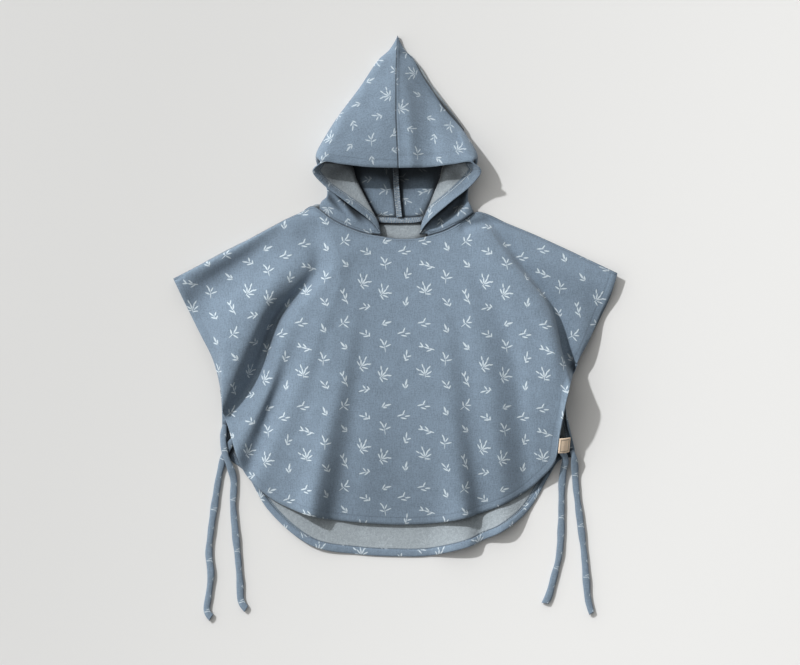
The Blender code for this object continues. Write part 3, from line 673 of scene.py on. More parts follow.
def front_faces(sizes):
    """The front panel's outer and inner face. The inner one stays clear of the back panel."""
    cloth = sizes.cloth / MM
    outer = loft(table_of(FRONT_LINES), sizes.mesh / MM)
    plan = outer[1:-1, :, :2]
    outer[1:-1, :, 2] += sum(fold_rise(plan, path, half_widths) for _, half_widths, *path in FRONT_FOLDS)
    nudge(outer)
    lowest = cloth + LAYER_GAP
    outer[:, :, 2] = np.maximum(outer[:, :, 2], lowest + cloth)
    inner = outer - normals_of(outer) * cloth
    inner[:, :, 2] = np.maximum(inner[:, :, 2], lowest)
    return outer, inner


def back_faces(sizes):
    """The back panel's underside and its upper face."""
    cloth = sizes.cloth / MM
    under = loft(table_of(BACK_LINES), sizes.mesh / MM)
    under[:, :, 2] = np.maximum(under[:, :, 2], 0.0)
    nudge(under)
    upper = under + normals_of(under) * cloth
    upper[:, :, 2] = np.maximum(upper[:, :, 2], cloth)
    return under, upper


def from_seam(grid, side):
    """Places a grid beside the hood's centre seam: side is -1 on the left and +1 on the right."""
    placed = grid.copy()
    reach = np.maximum(grid[:, :, 0], SEAM_GAP / 2)
    seam = np.interp(grid[:, :, 1], *np.transpose(HOOD_SEAM)) * (1 - reach / HOOD_HALF / 2)
    placed[:, :, 0] = seam + side * reach
    return placed


def sew_to(row, edge):
    """Moves part of the hood's neck row to a seam's gap above a panel's top edge."""
    for axis in (1, 2):
        row[:, axis] = np.interp(row[:, 0], edge[:, 0], edge[:, axis])
    by_x = row[np.argsort(row[:, 0])]
    beside = edge[(edge[:, 0] > by_x[0, 0]) & (edge[:, 0] < by_x[-1, 0])]
    cut = beside[:, 1] - np.interp(beside[:, 0], by_x[:, 0], by_x[:, 1])
    row[:, 1] += SEAM_GAP + max(0.0, cut.max())


def hood_faces(sizes, side):
    """The outer and inner face of one half of the hood."""
    table = np.swapaxes(table_of(HOOD_LINES), 0, 1)
    around = even_steps(table, sizes.mesh / MM)[0]
    outer = loft(table, sizes.mesh / MM)
    outer[:, :, 2] = np.maximum(outer[:, :, 2], 0.0)
    for _, stations, half_widths, *path in HOOD_FOLDS[side]:
        part = outer[1:-1, columns_between(around, *stations)]
        lowest = np.minimum(part[:, :, 2], HOOD_LOW)
        part[:, :, 2] = np.maximum(part[:, :, 2] + fold_rise(part[:, :, :2], path, half_widths), lowest)
    inner = from_seam(outer - normals_of(outer) * sizes.cloth / MM, side)
    outer = from_seam(outer, side)
    nudge(inner)
    nudge(outer)
    for stations, panel in ((HOOD_SEWN_FRONT, front_faces(sizes)), (HOOD_SEWN_BACK, back_faces(sizes))):
        sewn = columns_between(around, *stations)
        for hood_face, panel_face in zip((outer, inner), panel):
            sew_to(hood_face[-1, sewn], panel_face[0])
    return outer, inner


# Shader nodes

def sum_with(operation):
    """A method that adds the node for a sum."""
    def method(self, *others):
        return self.sum_of(operation, self, *others)

    return method


class Value:
    """A node's output. A sum with it adds the node that works the sum out."""

    def __init__(self, socket):
        self.socket = socket
        self.tree = socket.id_data

    def sum_of(self, operation, *values):
        """The result of a sum on numbers."""
        return Value(node(self.tree, "ShaderNodeMath", *values, operation=operation).outputs[0])

    def __rsub__(self, other):
        return self.sum_of("SUBTRACT", other, self)

    def __rtruediv__(self, other):
        return self.sum_of("DIVIDE", other, self)

    __add__ = sum_with("ADD")
    __sub__ = sum_with("SUBTRACT")
    __mul__ = sum_with("MULTIPLY")
    __truediv__ = sum_with("DIVIDE")
    __mod__ = sum_with("FLOORED_MODULO")
    __pow__ = sum_with("POWER")
    __gt__ = sum_with("GREATER_THAN")
    __lt__ = sum_with("LESS_THAN")
    __abs__ = sum_with("ABSOLUTE")
    floor = sum_with("FLOOR")
    fraction = sum_with("FRACT")
    sine = sum_with("SINE")
    larger = sum_with("MAXIMUM")
    smaller = sum_with("MINIMUM")


def feed(socket, value):
    """Feeds a socket from a node's output, or sets it to a plain value."""
    if isinstance(value, Value):
        value.tree.links.new(value.socket, socket)
    elif value is not None:
        socket.default_value = value


def node(tree, kind, *values, named=None, **settings):
    """A new node with its settings, with values for its first inputs and for others by name."""
    made = tree.nodes.new(kind)
    for name, value in settings.items():
        setattr(made, name, value)
    for socket, value in zip(made.inputs, values):
        feed(socket, value)
    for name, value in (named or {}).items():
        feed(made.inputs[name], value)
    return made


def parts_of(vector):
    """The x, y and z of a vector."""
    return [Value(part) for part in node(vector.tree, "ShaderNodeSeparateXYZ", vector).outputs]


def joined(x, y, z=0.0):
    """A vector from its parts."""
    return Value(node(x.tree, "ShaderNodeCombineXYZ", x, y, z).outputs[0])


def on_vectors(operation, first, second):
    """The result of a sum on vectors."""
    return Value(node(first.tree, "ShaderNodeVectorMath", first, second, operation=operation).outputs[0])


def turned(vector, angle):
    """A vector turned about z."""
    return Value(node(vector.tree, "ShaderNodeVectorRotate", rotation_type="Z_AXIS",
                      named={"Vector": vector, "Angle": angle}).outputs[0])


def ramp(value, low, high, start=0.0, end=1.0, shape="SMOOTHSTEP"):
    """A step from start to end as the value goes from low to high."""
    return Value(node(value.tree, "ShaderNodeMapRange", value, low, high, start, end,
                      interpolation_type=shape).outputs[0])


def mixed(share, first, second):
    """A blend of two colours."""
    made = node(share.tree, "ShaderNodeMix", share, data_type="RGBA")
    feed(made.inputs[6], first)
    feed(made.inputs[7], second)
    return Value(made.outputs[2])


def noise_of(vector, scale, detail=2.0, rough=0.5):
    """A smooth noise from 0 to 1."""
    return Value(node(vector.tree, "ShaderNodeTexNoise", named={
        "Vector": vector, "Scale": scale, "Detail": detail, "Roughness": rough}).outputs[0])


def stretched_noise(vector, x, y, detail):
    """A smooth noise with its own scale along x and y."""
    return noise_of(on_vectors("MULTIPLY", vector, (x, y, 0.0)), 1.0, detail)


def new_group(name, inputs, outputs):
    """An empty node group: its inputs by name, and the function that takes its outputs by name."""
    tree = bpy.data.node_groups.new(name, "ShaderNodeTree")
    for in_out, labels in (("INPUT", inputs), ("OUTPUT", outputs)):
        for label in labels:
            kind = "NodeSocketVector" if label in ("Vector", "Foot") else "NodeSocketFloat"
            tree.interface.new_socket(label, in_out=in_out, socket_type=kind)
    given = {socket.name: Value(socket) for socket in tree.nodes.new("NodeGroupInput").outputs if socket.name}
    taken = tree.nodes.new("NodeGroupOutput").inputs

    def give(**values):
        for label, value in values.items():
            feed(taken[label], value)

    return given, give


def use_group(tree, name, **values):
    """The outputs of a group placed in a tree, by name. Its inputs are given by name."""
    made = node(tree, "ShaderNodeGroup", node_tree=bpy.data.node_groups[name], named=values)
    return {socket.name: Value(socket) for socket in made.outputs}


def stitches(along, length, low, high):
    """The marks of single stitches along a line of them."""
    return ramp(abs((along / length).fraction() - 0.5), low, high)


def build_leaf_group():
    """One leaf: how far a point lies inside it, in millimetres."""
    given, give = new_group("Leaf", ("Vector", "Foot", "Angle", "Length", "Width"), ("Inside",))
    offset = on_vectors("SUBTRACT", given["Vector"], given["Foot"])
    across, along, _ = parts_of(turned(offset, given["Angle"]))
    share = along / given["Length"]
    swell = (share * (1.0 - share) * 4.0).larger(0.0) ** 0.65
    give(Inside=swell * given["Width"] - (swell < 0.001) * 9.0 - abs(across))


def build_print_group():
    """The scattered sprigs: one in each cell, moved and turned by chance."""
    given, give = new_group("Leaf sprig print", ("Vector", "Across", "Down", "Turn", "Size"), ("Mask",))
    tree = given["Vector"].tree
    x, y, _ = parts_of(given["Vector"])
    column = x / given["Across"]
    column_id = column.floor()
    row = y / given["Down"] + column_id % 2.0 * 0.5
    cell = joined(column_id % PRINT_REPEAT[0], row.floor() % PRINT_REPEAT[1], PRINT_SEED)
    chance = node(tree, "ShaderNodeTexWhiteNoise", cell).outputs
    lucks = node(tree, "ShaderNodeSeparateColor", Value(chance["Color"])).outputs
    one, two, three = (Value(luck) for luck in lucks)

    def within(value, pitch, luck, room):
        return (value.fraction() - 0.5 + (luck - 0.5) * room) * pitch * 1000.0

    local = joined(within(column, given["Across"], one, SPRIG_STRAY[0]),
                   within(row, given["Down"], two, SPRIG_STRAY[1]))
    local = turned(local, (three - 0.5) * (given["Turn"] * 2.0))
    sprig = Value(node(tree, "ShaderNodeVectorMath", local, operation="SCALE",
                       named={"Scale": 1.0 / given["Size"]}).outputs[0])
    kind = (Value(chance["Value"]) * (KINDS - 0.001)).floor()
    shapes = []
    for this_kind in range(KINDS):
        leaves = [use_group(tree, "Leaf", Vector=sprig, Foot=(*place, 0.0), Angle=math.radians(angle),
                            Length=length, Width=width)["Inside"]
                  for leaf_kind, place, angle, length, width in LEAVES if leaf_kind == this_kind]
        shapes.append(reduce(Value.larger, leaves) - (abs(kind - this_kind) > 0.5) * 20.0)
    rough = (noise_of(given["Vector"], 900.0, 1.0) - 0.5) * 0.5
    give(Mask=ramp(reduce(Value.larger, shapes) + rough, -0.15, 0.2))


def build_weave_group():
    """A plain weave with uneven threads: its height, and a tint for slubs and heather."""
    given, give = new_group("Woven cotton", ("Vector", "Pitch"), ("Height", "Tint"))
    place = given["Vector"]
    x, y, _ = parts_of(place)
    waves = [abs((part / given["Pitch"] * (math.pi * ratio)).sine()) for part, ratio in ((x, 1.0), (y, 1.15))]
    slubs = stretched_noise(place, 900.0, 95.0, 2.0)
    weft = stretched_noise(place, 120.0, 800.0, 1.0)
    patch = noise_of(place, 55.0, 3.0)
    grain = noise_of(place, 430.0, 3.0, 0.85)
    tint = slubs * 0.25 + weft * 0.12 + grain * 0.5 + patch * 0.15
    give(Tint=ramp(tint, 0.36, 0.64, shape="LINEAR"), Height=waves[0] * waves[1] * 0.5 + slubs * 0.5)


def build_terry_group():
    """The looped reverse: short uneven loops, with thin and thick places."""
    given, give = new_group("Looped reverse", ("Vector",), ("Height", "Tint"))
    place = given["Vector"]
    loops = node(place.tree, "ShaderNodeTexVoronoi", feature="SMOOTH_F1",
                 named={"Vector": place, "Scale": 620.0, "Smoothness": 0.4})
    height = 1.0 - Value(loops.outputs["Distance"])
    patch = noise_of(place, 210.0, 3.0)
    give(Height=height * 0.7 + patch * 0.5, Tint=ramp(height * 0.4 + patch * 0.7, 0.35, 0.85))


def build_seam_group():
    """A closed seam with topstitching beside it, from the distances along and away from it."""
    given, give = new_group("Topstitched seam", ("Vector", "Stitch"), ("Dark", "Light", "Height"))
    along, away, _ = parts_of(given["Vector"])
    # Painted shade: the seam's crease, a soft band beside it and the topstitch line darken the colour.
    # Painted highlight: the seam's raised lip is lighter; the stitches are lighter thread.
    seam = ramp(away, 0.0013, 0.0002)
    shadow = ramp(away, 0.0075, 0.0005) * 0.32
    line = ramp(abs(away - 0.0032), 0.0009, 0.0002) * (along > -1.0)
    lip = ramp(abs(away - 0.0018), 0.0007, 0.0)
    dash = stitches(along, given["Stitch"], 0.46, 0.3)
    give(Dark=seam.larger(shadow).larger(line * 0.45), Light=(lip * 0.35).larger(dash * line * 0.3),
         Height=seam.larger(line) * -1.0)


def build_overlock_group():
    """Overlocked edge: slanting threads over a raised roll, from the distances along and across it."""
    given, give = new_group("Overlock", ("Vector", "Width"), ("Thread",))
    along, across, _ = parts_of(given["Vector"])
    wobble = (noise_of(given["Vector"], 260.0, 2.0) - 0.5) * 0.005
    slant = abs(((along + wobble) / 0.0034).fraction() * 2.0 - 1.0)
    thread = ramp(abs(slant - across / given["Width"]), 0.26, 0.06)
    give(Thread=thread * (noise_of(given["Vector"], 700.0, 2.0) * 1.4 + 0.15))


def build_hem_group():
    """A turned and stitched hem, from the distance along its edge and the distance in from it."""
    given, give = new_group("Stitched hem", ("Vector", "Width", "Stitch"),
                            ("Band", "Groove", "Thread", "Height"))
    along, away, _ = parts_of(given["Vector"])
    beside = abs(away - (given["Width"] - 0.0018))
    thread = stitches(along, given["Stitch"], 0.42, 0.32) * ramp(beside, 0.0005, 0.0002)
    # Painted shade: the groove by the stitching and the line along the hem's turned edge are a darker mark on
    # the colour
    groove = ramp(beside, 0.0016, 0.0003)
    edge = ramp(abs(away - given["Width"]), 0.0012, 0.0)
    pucker = stretched_noise(given["Vector"], 190.0, 30.0, 1.0) * ramp(away, 0.022, 0.002)
    give(Band=ramp(given["Width"] - away, -0.0002, 0.0002), Groove=(groove * 0.75).larger(edge),
         Thread=thread, Height=groove * -0.6 + pucker * 1.3 + thread * 0.35)


# Materials

def uv_of(tree, name):
    """The vector of a UV map, in metres."""
    return Value(node(tree, "ShaderNodeUVMap", uv_map=name).outputs[0])


def shade(colour, factor):
    """A colour made lighter or darker."""
    return (*(min(1.0, part * factor) for part in colour), 1.0)


def tinted(weave, colour, low, high):
    """A colour that goes from darker to lighter with a weave's tint."""
    return mixed(weave["Tint"], shade(colour, low), shade(colour, high))


def new_material(name, roughness, sheen):
    """A new matt material: its tree and its shader."""
    material = bpy.data.materials.new(name)
    material.use_nodes = True
    shader = material.node_tree.nodes["Principled BSDF"]
    for label, value in (("Roughness", roughness), ("Specular IOR Level", 0.25), ("Sheen Weight", sheen),
                         ("Sheen Roughness", 0.6)):
        feed(shader.inputs[label], value)
    return material.node_tree, shader


def finish_material(shader, colour, layers, deep):
    """Feeds the shader's colour, darkened by painted shade deep inside folds, and a bump for each (height,
    depth) pair.
    """
    tree = shader.id_data
    # Painted shade: the colour darkens towards black where the cloth lies deep inside folds
    shadow = ramp(parts_of(uv_of(tree, "deep"))[0], *deep, 0.0, DEEP_SHADE)
    feed(shader.inputs["Base Color"], mixed(shadow, colour, (0.0, 0.0, 0.0, 1.0)))
    normal = None
    for height, depth in layers:
        normal = Value(node(tree, "ShaderNodeBump", named={
            "Strength": 1.0, "Distance": depth, "Height": height, "Normal": normal}).outputs[0])
    feed(shader.inputs["Normal"], normal)


def printed_colour(tree, sizes, colours, vector, turn, tone, size, ink_cover):
    """The printed side: heathered ground with sprigs. Gives the colour, the weave's height and the sprigs."""
    weave = use_group(tree, "Woven cotton", Vector=vector, Pitch=sizes.thread)
    ground = tinted(weave, colours.cloth, 0.72 * tone, 1.3 * tone)
    sprigs = use_group(tree, "Leaf sprig print", Vector=vector, Across=sizes.sprig_across * size,
                       Down=sizes.sprig_down * size, Turn=math.radians(turn), Size=size)["Mask"]
    ink = tinted(weave, colours.sprig, 0.9 * tone, 1.04 * tone)
    return mixed(sprigs * ink_cover, ground, ink), weave["Height"], sprigs


def hemmed(tree, sizes):
    """The outputs of the hem group for this material's hem map."""
    return use_group(tree, "Stitched hem", Vector=uv_of(tree, "hem"), Width=sizes.hem, Stitch=sizes.stitch)


def printed_material(name, sizes, colours, turn, tone, size, ink_cover, deep):
    """Printed cotton with its stitched hems and seams."""
    tree, shader = new_material(name, 0.92, 0.12)
    vector = uv_of(tree, "cloth")
    colour, height, _ = printed_colour(tree, sizes, colours, vector, turn, tone, size, ink_cover)
    hem = hemmed(tree, sizes)
    seam = use_group(tree, "Topstitched seam", Vector=uv_of(tree, "seam"), Stitch=sizes.stitch)
    # Painted shade in the hem's groove and along the seam, a painted highlight on the seam's lip, and the
    # hem's and seam's stitches
    for mark, second in ((hem["Groove"] * 0.16, shade(colours.cloth, 0.45)),
                         (hem["Thread"] * 0.45, shade(colours.thread, 1.2)),
                         (seam["Dark"] * 0.55, shade(colours.cloth, 0.3)),
                         (seam["Light"] * 0.6, shade(colours.cloth, 1.7))):
        colour = mixed(mark, colour, second)
    layers = [(hem["Height"], 0.00035), (seam["Height"], 0.0006), (height, 0.00012)]
    finish_material(shader, colour, layers, deep)


def reverse_material(name, sizes, colours, turn, tone, size, ink_cover, deep):
    """The looped reverse, with the print showing through, and the printed side on turned hems."""
    tree, shader = new_material(name, 0.97, 0.2)
    vector = uv_of(tree, "cloth")
    printed, _, sprigs = printed_colour(tree, sizes, colours, vector, turn, tone, size, ink_cover)
    loops = use_group(tree, "Looped reverse", Vector=vector)
    colour = tinted(loops, colours.reverse, 0.86 * tone, 1.1 * tone)
    hem = hemmed(tree, sizes)
    # The print showing through, the printed side on the turned hem, painted shade in the hem's groove, and
    # the hem's stitches
    for mark, second in ((sprigs * 0.16, shade(colours.sprig, 1.0)), (hem["Band"], printed),
                         (hem["Groove"] * 0.4, shade(colours.cloth, 0.4)),
                         (hem["Thread"] * 0.7, shade(colours.sprig, 0.9))):
        colour = mixed(mark, colour, second)
    finish_material(shader, colour, [(hem["Height"], 0.0006), (loops["Height"], 0.0006)], deep)


def overlock_material(name, sizes, colours):
    """Cloth edge under overlocking, with its threads."""
    tree, shader = new_material(name, 0.9, 0.15)
    vector = uv_of(tree, "cloth")
    weave = use_group(tree, "Woven cotton", Vector=vector, Pitch=sizes.thread)
    thread = use_group(tree, "Overlock", Vector=vector, Width=OVERLOCK_WIDTH * MM)["Thread"]
    colour = mixed(thread * 0.85, tinted(weave, colours.cloth, 0.85, 1.45), shade(colours.overlock, 1.0))
    finish_material(shader, colour, [(thread, 0.0008), (weave["Height"], 0.0003)], LINING_PAINTED_SHADE)


def label_material(name, sizes, colours):
    """Woven tape with a dark border a little way in from its edges."""
    tree, shader = new_material(name, 0.7, 0.1)
    vector = uv_of(tree, "cloth")
    weave = use_group(tree, "Woven cotton", Vector=vector, Pitch=sizes.thread * 0.8)
    insets = []
    for part, size in zip(parts_of(vector), LABEL_SIZE):
        half = size * MM / 2
        insets.append(half - abs(abs(part) - half))
    line = ramp(abs(reduce(Value.smaller, insets) - 0.0022), 0.0007, 0.0003)
    colour = mixed(line * 0.75, tinted(weave, colours.label, 0.86, 1.06), shade(colours.label, 0.18))
    finish_material(shader, colour, [(weave["Height"], 0.0002)], PANEL_PAINTED_SHADE)


CLOTHS = (
    # material, its side, how far sprigs turn each way, in degrees, tone, sprigs' size, how well their
    # ink covers, and the shares of closed view between which painted shade darkens it
    ("panel print", printed_material, 60, 1.0, 1.0, 0.93, PANEL_PAINTED_SHADE),
    ("hood print", printed_material, 170, 0.98, 0.95, 0.72, INNER_PAINTED_SHADE),
    ("tie print", printed_material, 120, 0.95, 0.62, 0.93, PANEL_PAINTED_SHADE),
    ("lining print", printed_material, 170, 1.0, 0.95, 0.72, LINING_PAINTED_SHADE),
    ("panel reverse", reverse_material, 60, 1.0, 1.0, 0.93, PANEL_PAINTED_SHADE),
    ("hood reverse", reverse_material, 170, 0.97, 0.95, 0.72, LINING_PAINTED_SHADE),
)


def materials(*names):
    """Materials by name. The first call builds every group and material."""
    if "Leaf" not in bpy.data.node_groups:
        sizes, colours = bpy.context.scene.poncho_sizes, bpy.context.scene.poncho_colours
        for build in (build_leaf_group, build_print_group, build_weave_group, build_terry_group,
                      build_hem_group, build_seam_group, build_overlock_group):
            build()
        for name, build, *settings in CLOTHS:
            build(name, sizes, colours, *settings)
        label_material("label tape", sizes, colours)
        overlock_material("overlocked edge", sizes, colours)
    return [bpy.data.materials[name] for name in names]


# Operators

class PONCHO_OT_front(bpy.types.Operator):
    """The front panel, with its folds and stitched hems"""

    bl_idname = "poncho.front"
    bl_label = "Front panel"

    def execute(self, context):
        outer, inner = front_faces(context.scene.poncho_sizes)
        flat = flat_panel(outer)
        cloths = materials("panel print", "panel reverse")
        piece = cloth_piece("front_panel", outer, inner, panel_maps(flat), cloths)
        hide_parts("body_front")
        flat_area(flat)
        return {"FINISHED"}


class PONCHO_OT_back(bpy.types.Operator):
    """The back panel, print down, and the turned layer of its hem"""

    bl_idname = "poncho.back"
    bl_label = "Back panel"

    def execute(self, context):
        sizes = context.scene.poncho_sizes
        under, upper = back_faces(sizes)
        flat = flat_panel(upper)
        cloths = materials("panel reverse", "panel print")
        piece = cloth_piece("back_panel", upper, under, panel_maps(flat), cloths)
        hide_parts("body_back")
        flat_area(flat)
        self.add_hem(sizes, upper)
        return {"FINISHED"}

    def add_hem(self, sizes, upper):
        """The turned-in layer along the back panel's edge, print up."""
        names = [line[0] for line in BACK_LINES]
        between = even_steps(table_of(BACK_LINES), sizes.mesh / MM)[0]
        turned_in = columns_between(between, *(names.index(name) for name in HEM_ENDS))
        edge = upper[-1, turned_in]
        inward = unit(upper[-4, turned_in] - edge)
        lift = normals_of(upper)[-1, turned_in]
        shares = np.linspace(1, 0, 6)[:, None, None]
        arch = np.sin(np.linspace(0.0, np.pi, 6))[:, None, None] * 0.5
        lower = edge + inward * HEM_TURN * shares + lift * LAYER_GAP
        above = lower + lift * (HEM_CLOTH + arch)
        flat = length_along(edge) + 1j * HEM_TURN * shares[:, :, 0]
        maps = {"cloth": flat, "hem": flat, "seam": flat + 1j * FAR}
        piece = cloth_piece("back_hem_turn", above, lower, maps, materials("panel print", "panel reverse"))
        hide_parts("back_hem")


class PONCHO_OT_hood(bpy.types.Operator):
    """Both halves of the hood, with the face edge turned back"""

    bl_idname = "poncho.hood"
    bl_label = "Hood"

    def execute(self, context):
        for name, side in SIDES.items():
            outer, inner = hood_faces(context.scene.poncho_sizes, side)
            flat = flat_hood(outer) + side * HOOD_APART
            hem = edge_map(flat, ["first"])
            maps = {"cloth": flat, "hem": hem.real + 1j * hem.imag * HOOD_HEM[side],
                    "seam": seam_map(flat, "bottom", "top")}
            cloths = materials("hood print", "hood reverse")
            piece = cloth_piece("hood_cloth_" + name, outer, inner, maps, cloths, side)
            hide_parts("hood_" + name)
            flat_area(flat)
        return {"FINISHED"}


class PONCHO_OT_lining(bpy.types.Operator):
    """Both halves of the hood's lining"""

    bl_idname = "poncho.lining"
    bl_label = "Hood lining"

    def execute(self, context):
        sizes = context.scene.poncho_sizes
        for name, side in SIDES.items():
            plan = from_seam(loft(np.swapaxes(table_of(LINING_LINES), 0, 1), sizes.mesh / MM), side)
            lower = np.dstack([plan, np.full(plan.shape[:2], sizes.cloth / MM + LAYER_GAP)])
            upper = lower + (0.0, 0.0, sizes.lining / MM)
            flat = plan[:, :, 0] + 1j * plan[:, :, 1]
            far = np.full(flat.shape, 1j * FAR)
            maps = {"cloth": flat, "hem": far, "seam": far}
            cloths = materials("hood reverse", "lining print")
            piece = cloth_piece("lining_cloth_" + name, lower, upper, maps, cloths, side)
            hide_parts("lining_" + name)
            flat_area(flat)
        return {"FINISHED"}


class PONCHO_OT_overlock(bpy.types.Operator):
    """The overlocked seam edges inside the hood: round the neck and up the middle"""

    bl_idname = "poncho.overlock"
    bl_label = "Overlocked edges"

    def execute(self, context):
        for name, (rise, *line) in OVERLOCKS.items():
            self.add_edge(name, rise, spline(line, 24))
        return {"FINISHED"}

    def add_edge(self, name, height, path):
        """One seam edge: it lies on the left of its line, and stands up along it."""
        run = unit(np.gradient(path, axis=0))
        left = np.stack([-run[:, 1], run[:, 0], np.zeros(len(run))], axis=1)
        along = length_along(path)
        across = np.linspace(OVERLOCK_WIDTH, 0.0, 9)[:, None]
        wave = 0.5 * np.sin(along / 3.1) + 0.3 * np.sin(along / 1.3 + 1)
        rise = height * (1 - across / OVERLOCK_WIDTH) ** 1.5
        lower = path[None] + left[None] * (across + 0.25 * wave)[:, :, None]
        lower[:, :, 2] += rise + 0.2 * wave * (rise > 1)
        upper = lower.copy()
        upper[:, :, 2] += 1.2 + 0.7 * np.sin(np.pi * across / OVERLOCK_WIDTH)
        maps = {"cloth": along + 1j * across}
        piece = cloth_piece(name, upper, lower, maps, materials("overlocked edge") * 2)


class PONCHO_OT_ties(bpy.types.Operator):
    """The four sewn ties, each a flat tube with a slanted cut end"""

    bl_idname = "poncho.ties"
    bl_label = "Ties"

    def execute(self, context):
        for count, (name, route) in enumerate(TIES.items()):
            self.add_tie(name, route, count)
        return {"FINISHED"}

    def add_tie(self, name, route, count):
        """One tie, swept along its route with slight changes of width."""
        path = spline(route, 12)
        run = unit(np.gradient(path, axis=0))
        across = unit(np.cross(run, (0.0, 0.0, 1.0)))
        up = np.cross(across, run)
        length = length_along(path)
        angles = np.arange(TIE_SIDES) * 2 * np.pi / TIE_SIDES
        cosine, sine = (np.sign(part) * np.abs(part) ** 0.8 for part in (np.cos(angles), np.sin(angles)))
        flare = 1 + 0.08 * np.sin(length / 13.0 + count * 2) + 0.05 * np.sin(length / 5.1 + count)
        wide = TIE_WIDTH / 2 * flare[:, None] * cosine
        wide *= (0.55 + 0.45 * np.clip(length / TIE_ROOT, 0, 1))[:, None]
        thick = TIE_THICKNESS / 2 * sine
        ring = path[:, None] + across[:, None] * wide[:, :, None] + up[:, None] * thick[:, None]
        slant, reach = TIE_CUT
        near_end = np.clip(1 - (length[-1] - length) / reach, 0, 1)[:, None, None]
        ring += run[-1] * slant * near_end * (wide / TIE_WIDTH)[:, :, None]
        ring[:, :, 2] = np.maximum(ring[:, :, 2] + TIE_LIFT, TIE_LOWEST)
        index = np.arange(len(path) * TIE_SIDES).reshape(-1, TIE_SIDES)
        after = np.roll(index, -1, axis=1)
        faces = np.stack([index[:-1], index[1:], after[1:], after[:-1]], axis=2).reshape(-1, 4).tolist()
        faces += [index[0].tolist(), index[-1, ::-1].tolist()]
        around = TIE_WIDTH * 2.2 * np.arange(TIE_SIDES) / TIE_SIDES
        flat = (around + 1j * length[:, None]).ravel()
        far = flat.imag + 1j * FAR
        piece = mesh_object(name + "_cloth", ring.reshape(-1, 3), faces, materials("tie print"),
                            {"cloth": flat, "hem": far, "seam": far})
        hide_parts(name)


class PONCHO_OT_label(bpy.types.Operator):
    """The bare label in the front panel's right edge"""

    bl_idname = "poncho.label"
    bl_label = "Label"

    def execute(self, context):
        width, height = LABEL_SIZE
        across, along = LABEL_FALL
        turn = Euler((math.atan2(along, height), math.atan2(across, width), math.radians(LABEL_TURN)))
        matrix = np.array(turn.to_matrix())
        x, y = np.meshgrid(np.linspace(0, width, 17), np.linspace(0, -height, 22))
        bow = 0.5 * np.sin(np.pi * x / width) * np.sin(np.pi * -y / height) - LABEL_DROOP * (x / width) ** 2
        top, bottom = (np.dstack([x, y, half + bow]) @ matrix.T + LABEL_CORNER
                       for half in (LABEL_CLOTH / 2, -LABEL_CLOTH / 2))
        piece = cloth_piece("label_tab", top, bottom, {"cloth": x + 1j * y}, materials("label tape") * 2)
        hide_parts("label")
        return {"FINISHED"}


class PONCHO_OT_painted_fold_shade(bpy.types.Operator):
    """How deep each point of the cloth lies inside its folds, as a map for the materials' painted shade"""

    bl_idname = "poncho.depth"
    bl_label = "Depth of the folds"

    def execute(self, context):
        pieces = [piece for piece in context.scene.objects
                  if piece.type == "MESH" and piece.data.materials and "cloth" in piece.data.uv_layers]
        points, faces, count = [], [], 0
        for piece in pieces:
            points.append(read(piece.data.vertices, "co", 3))
            faces += [[corner + count for corner in face.vertices] for face in piece.data.polygons]
            count += len(points[-1])
        cloth = BVHTree.FromPolygons(np.concatenate(points).tolist(), faces)
        for piece, places in zip(pieces, points):
            add_map(piece.data, "deep", self.depth_of(piece.data, places, cloth))
        return {"FINISHED"}

    def depth_of(self, mesh, places, cloth):
        """The share of rays from each upper point that meet cloth close by, evened out over the mesh."""
        normals = read(mesh.vertex_normals, "vector", 3)
        turn = np.arange(DEEP_RAYS) * GOLDEN_ANGLE
        spread = np.sqrt((np.arange(DEEP_RAYS) + 0.5) / DEEP_RAYS)
        parts = np.array([spread * np.cos(turn), spread * np.sin(turn), np.sqrt(1 - spread**2)])[:, :, None]
        side = np.cross(normals, (0.31, 0.95, 0.05))
        side /= np.linalg.norm(side, axis=1, keepdims=True) + 1e-9
        ahead = np.cross(normals, side)
        starts = (places + normals * DEEP_START).tolist()
        depth = np.zeros(len(places))
        for index in np.nonzero(normals[:, 2] > -0.1)[0]:
            rays = parts[0] * side[index] + parts[1] * ahead[index] + parts[2] * normals[index]
            depth[index] = sum(cloth.ray_cast(starts[index], ray, DEEP_REACH)[0] is not None
                               for ray in rays.tolist()) / DEEP_RAYS
        edges = read(mesh.edges, "vertices", 2, np.int32)
        shared = np.bincount(edges.ravel(), minlength=len(places)) + 1.0
        for _ in range(2):
            total = depth.copy()
            np.add.at(total, edges[:, 0], depth[edges[:, 1]])
            np.add.at(total, edges[:, 1], depth[edges[:, 0]])
            depth = total / shared
        return depth


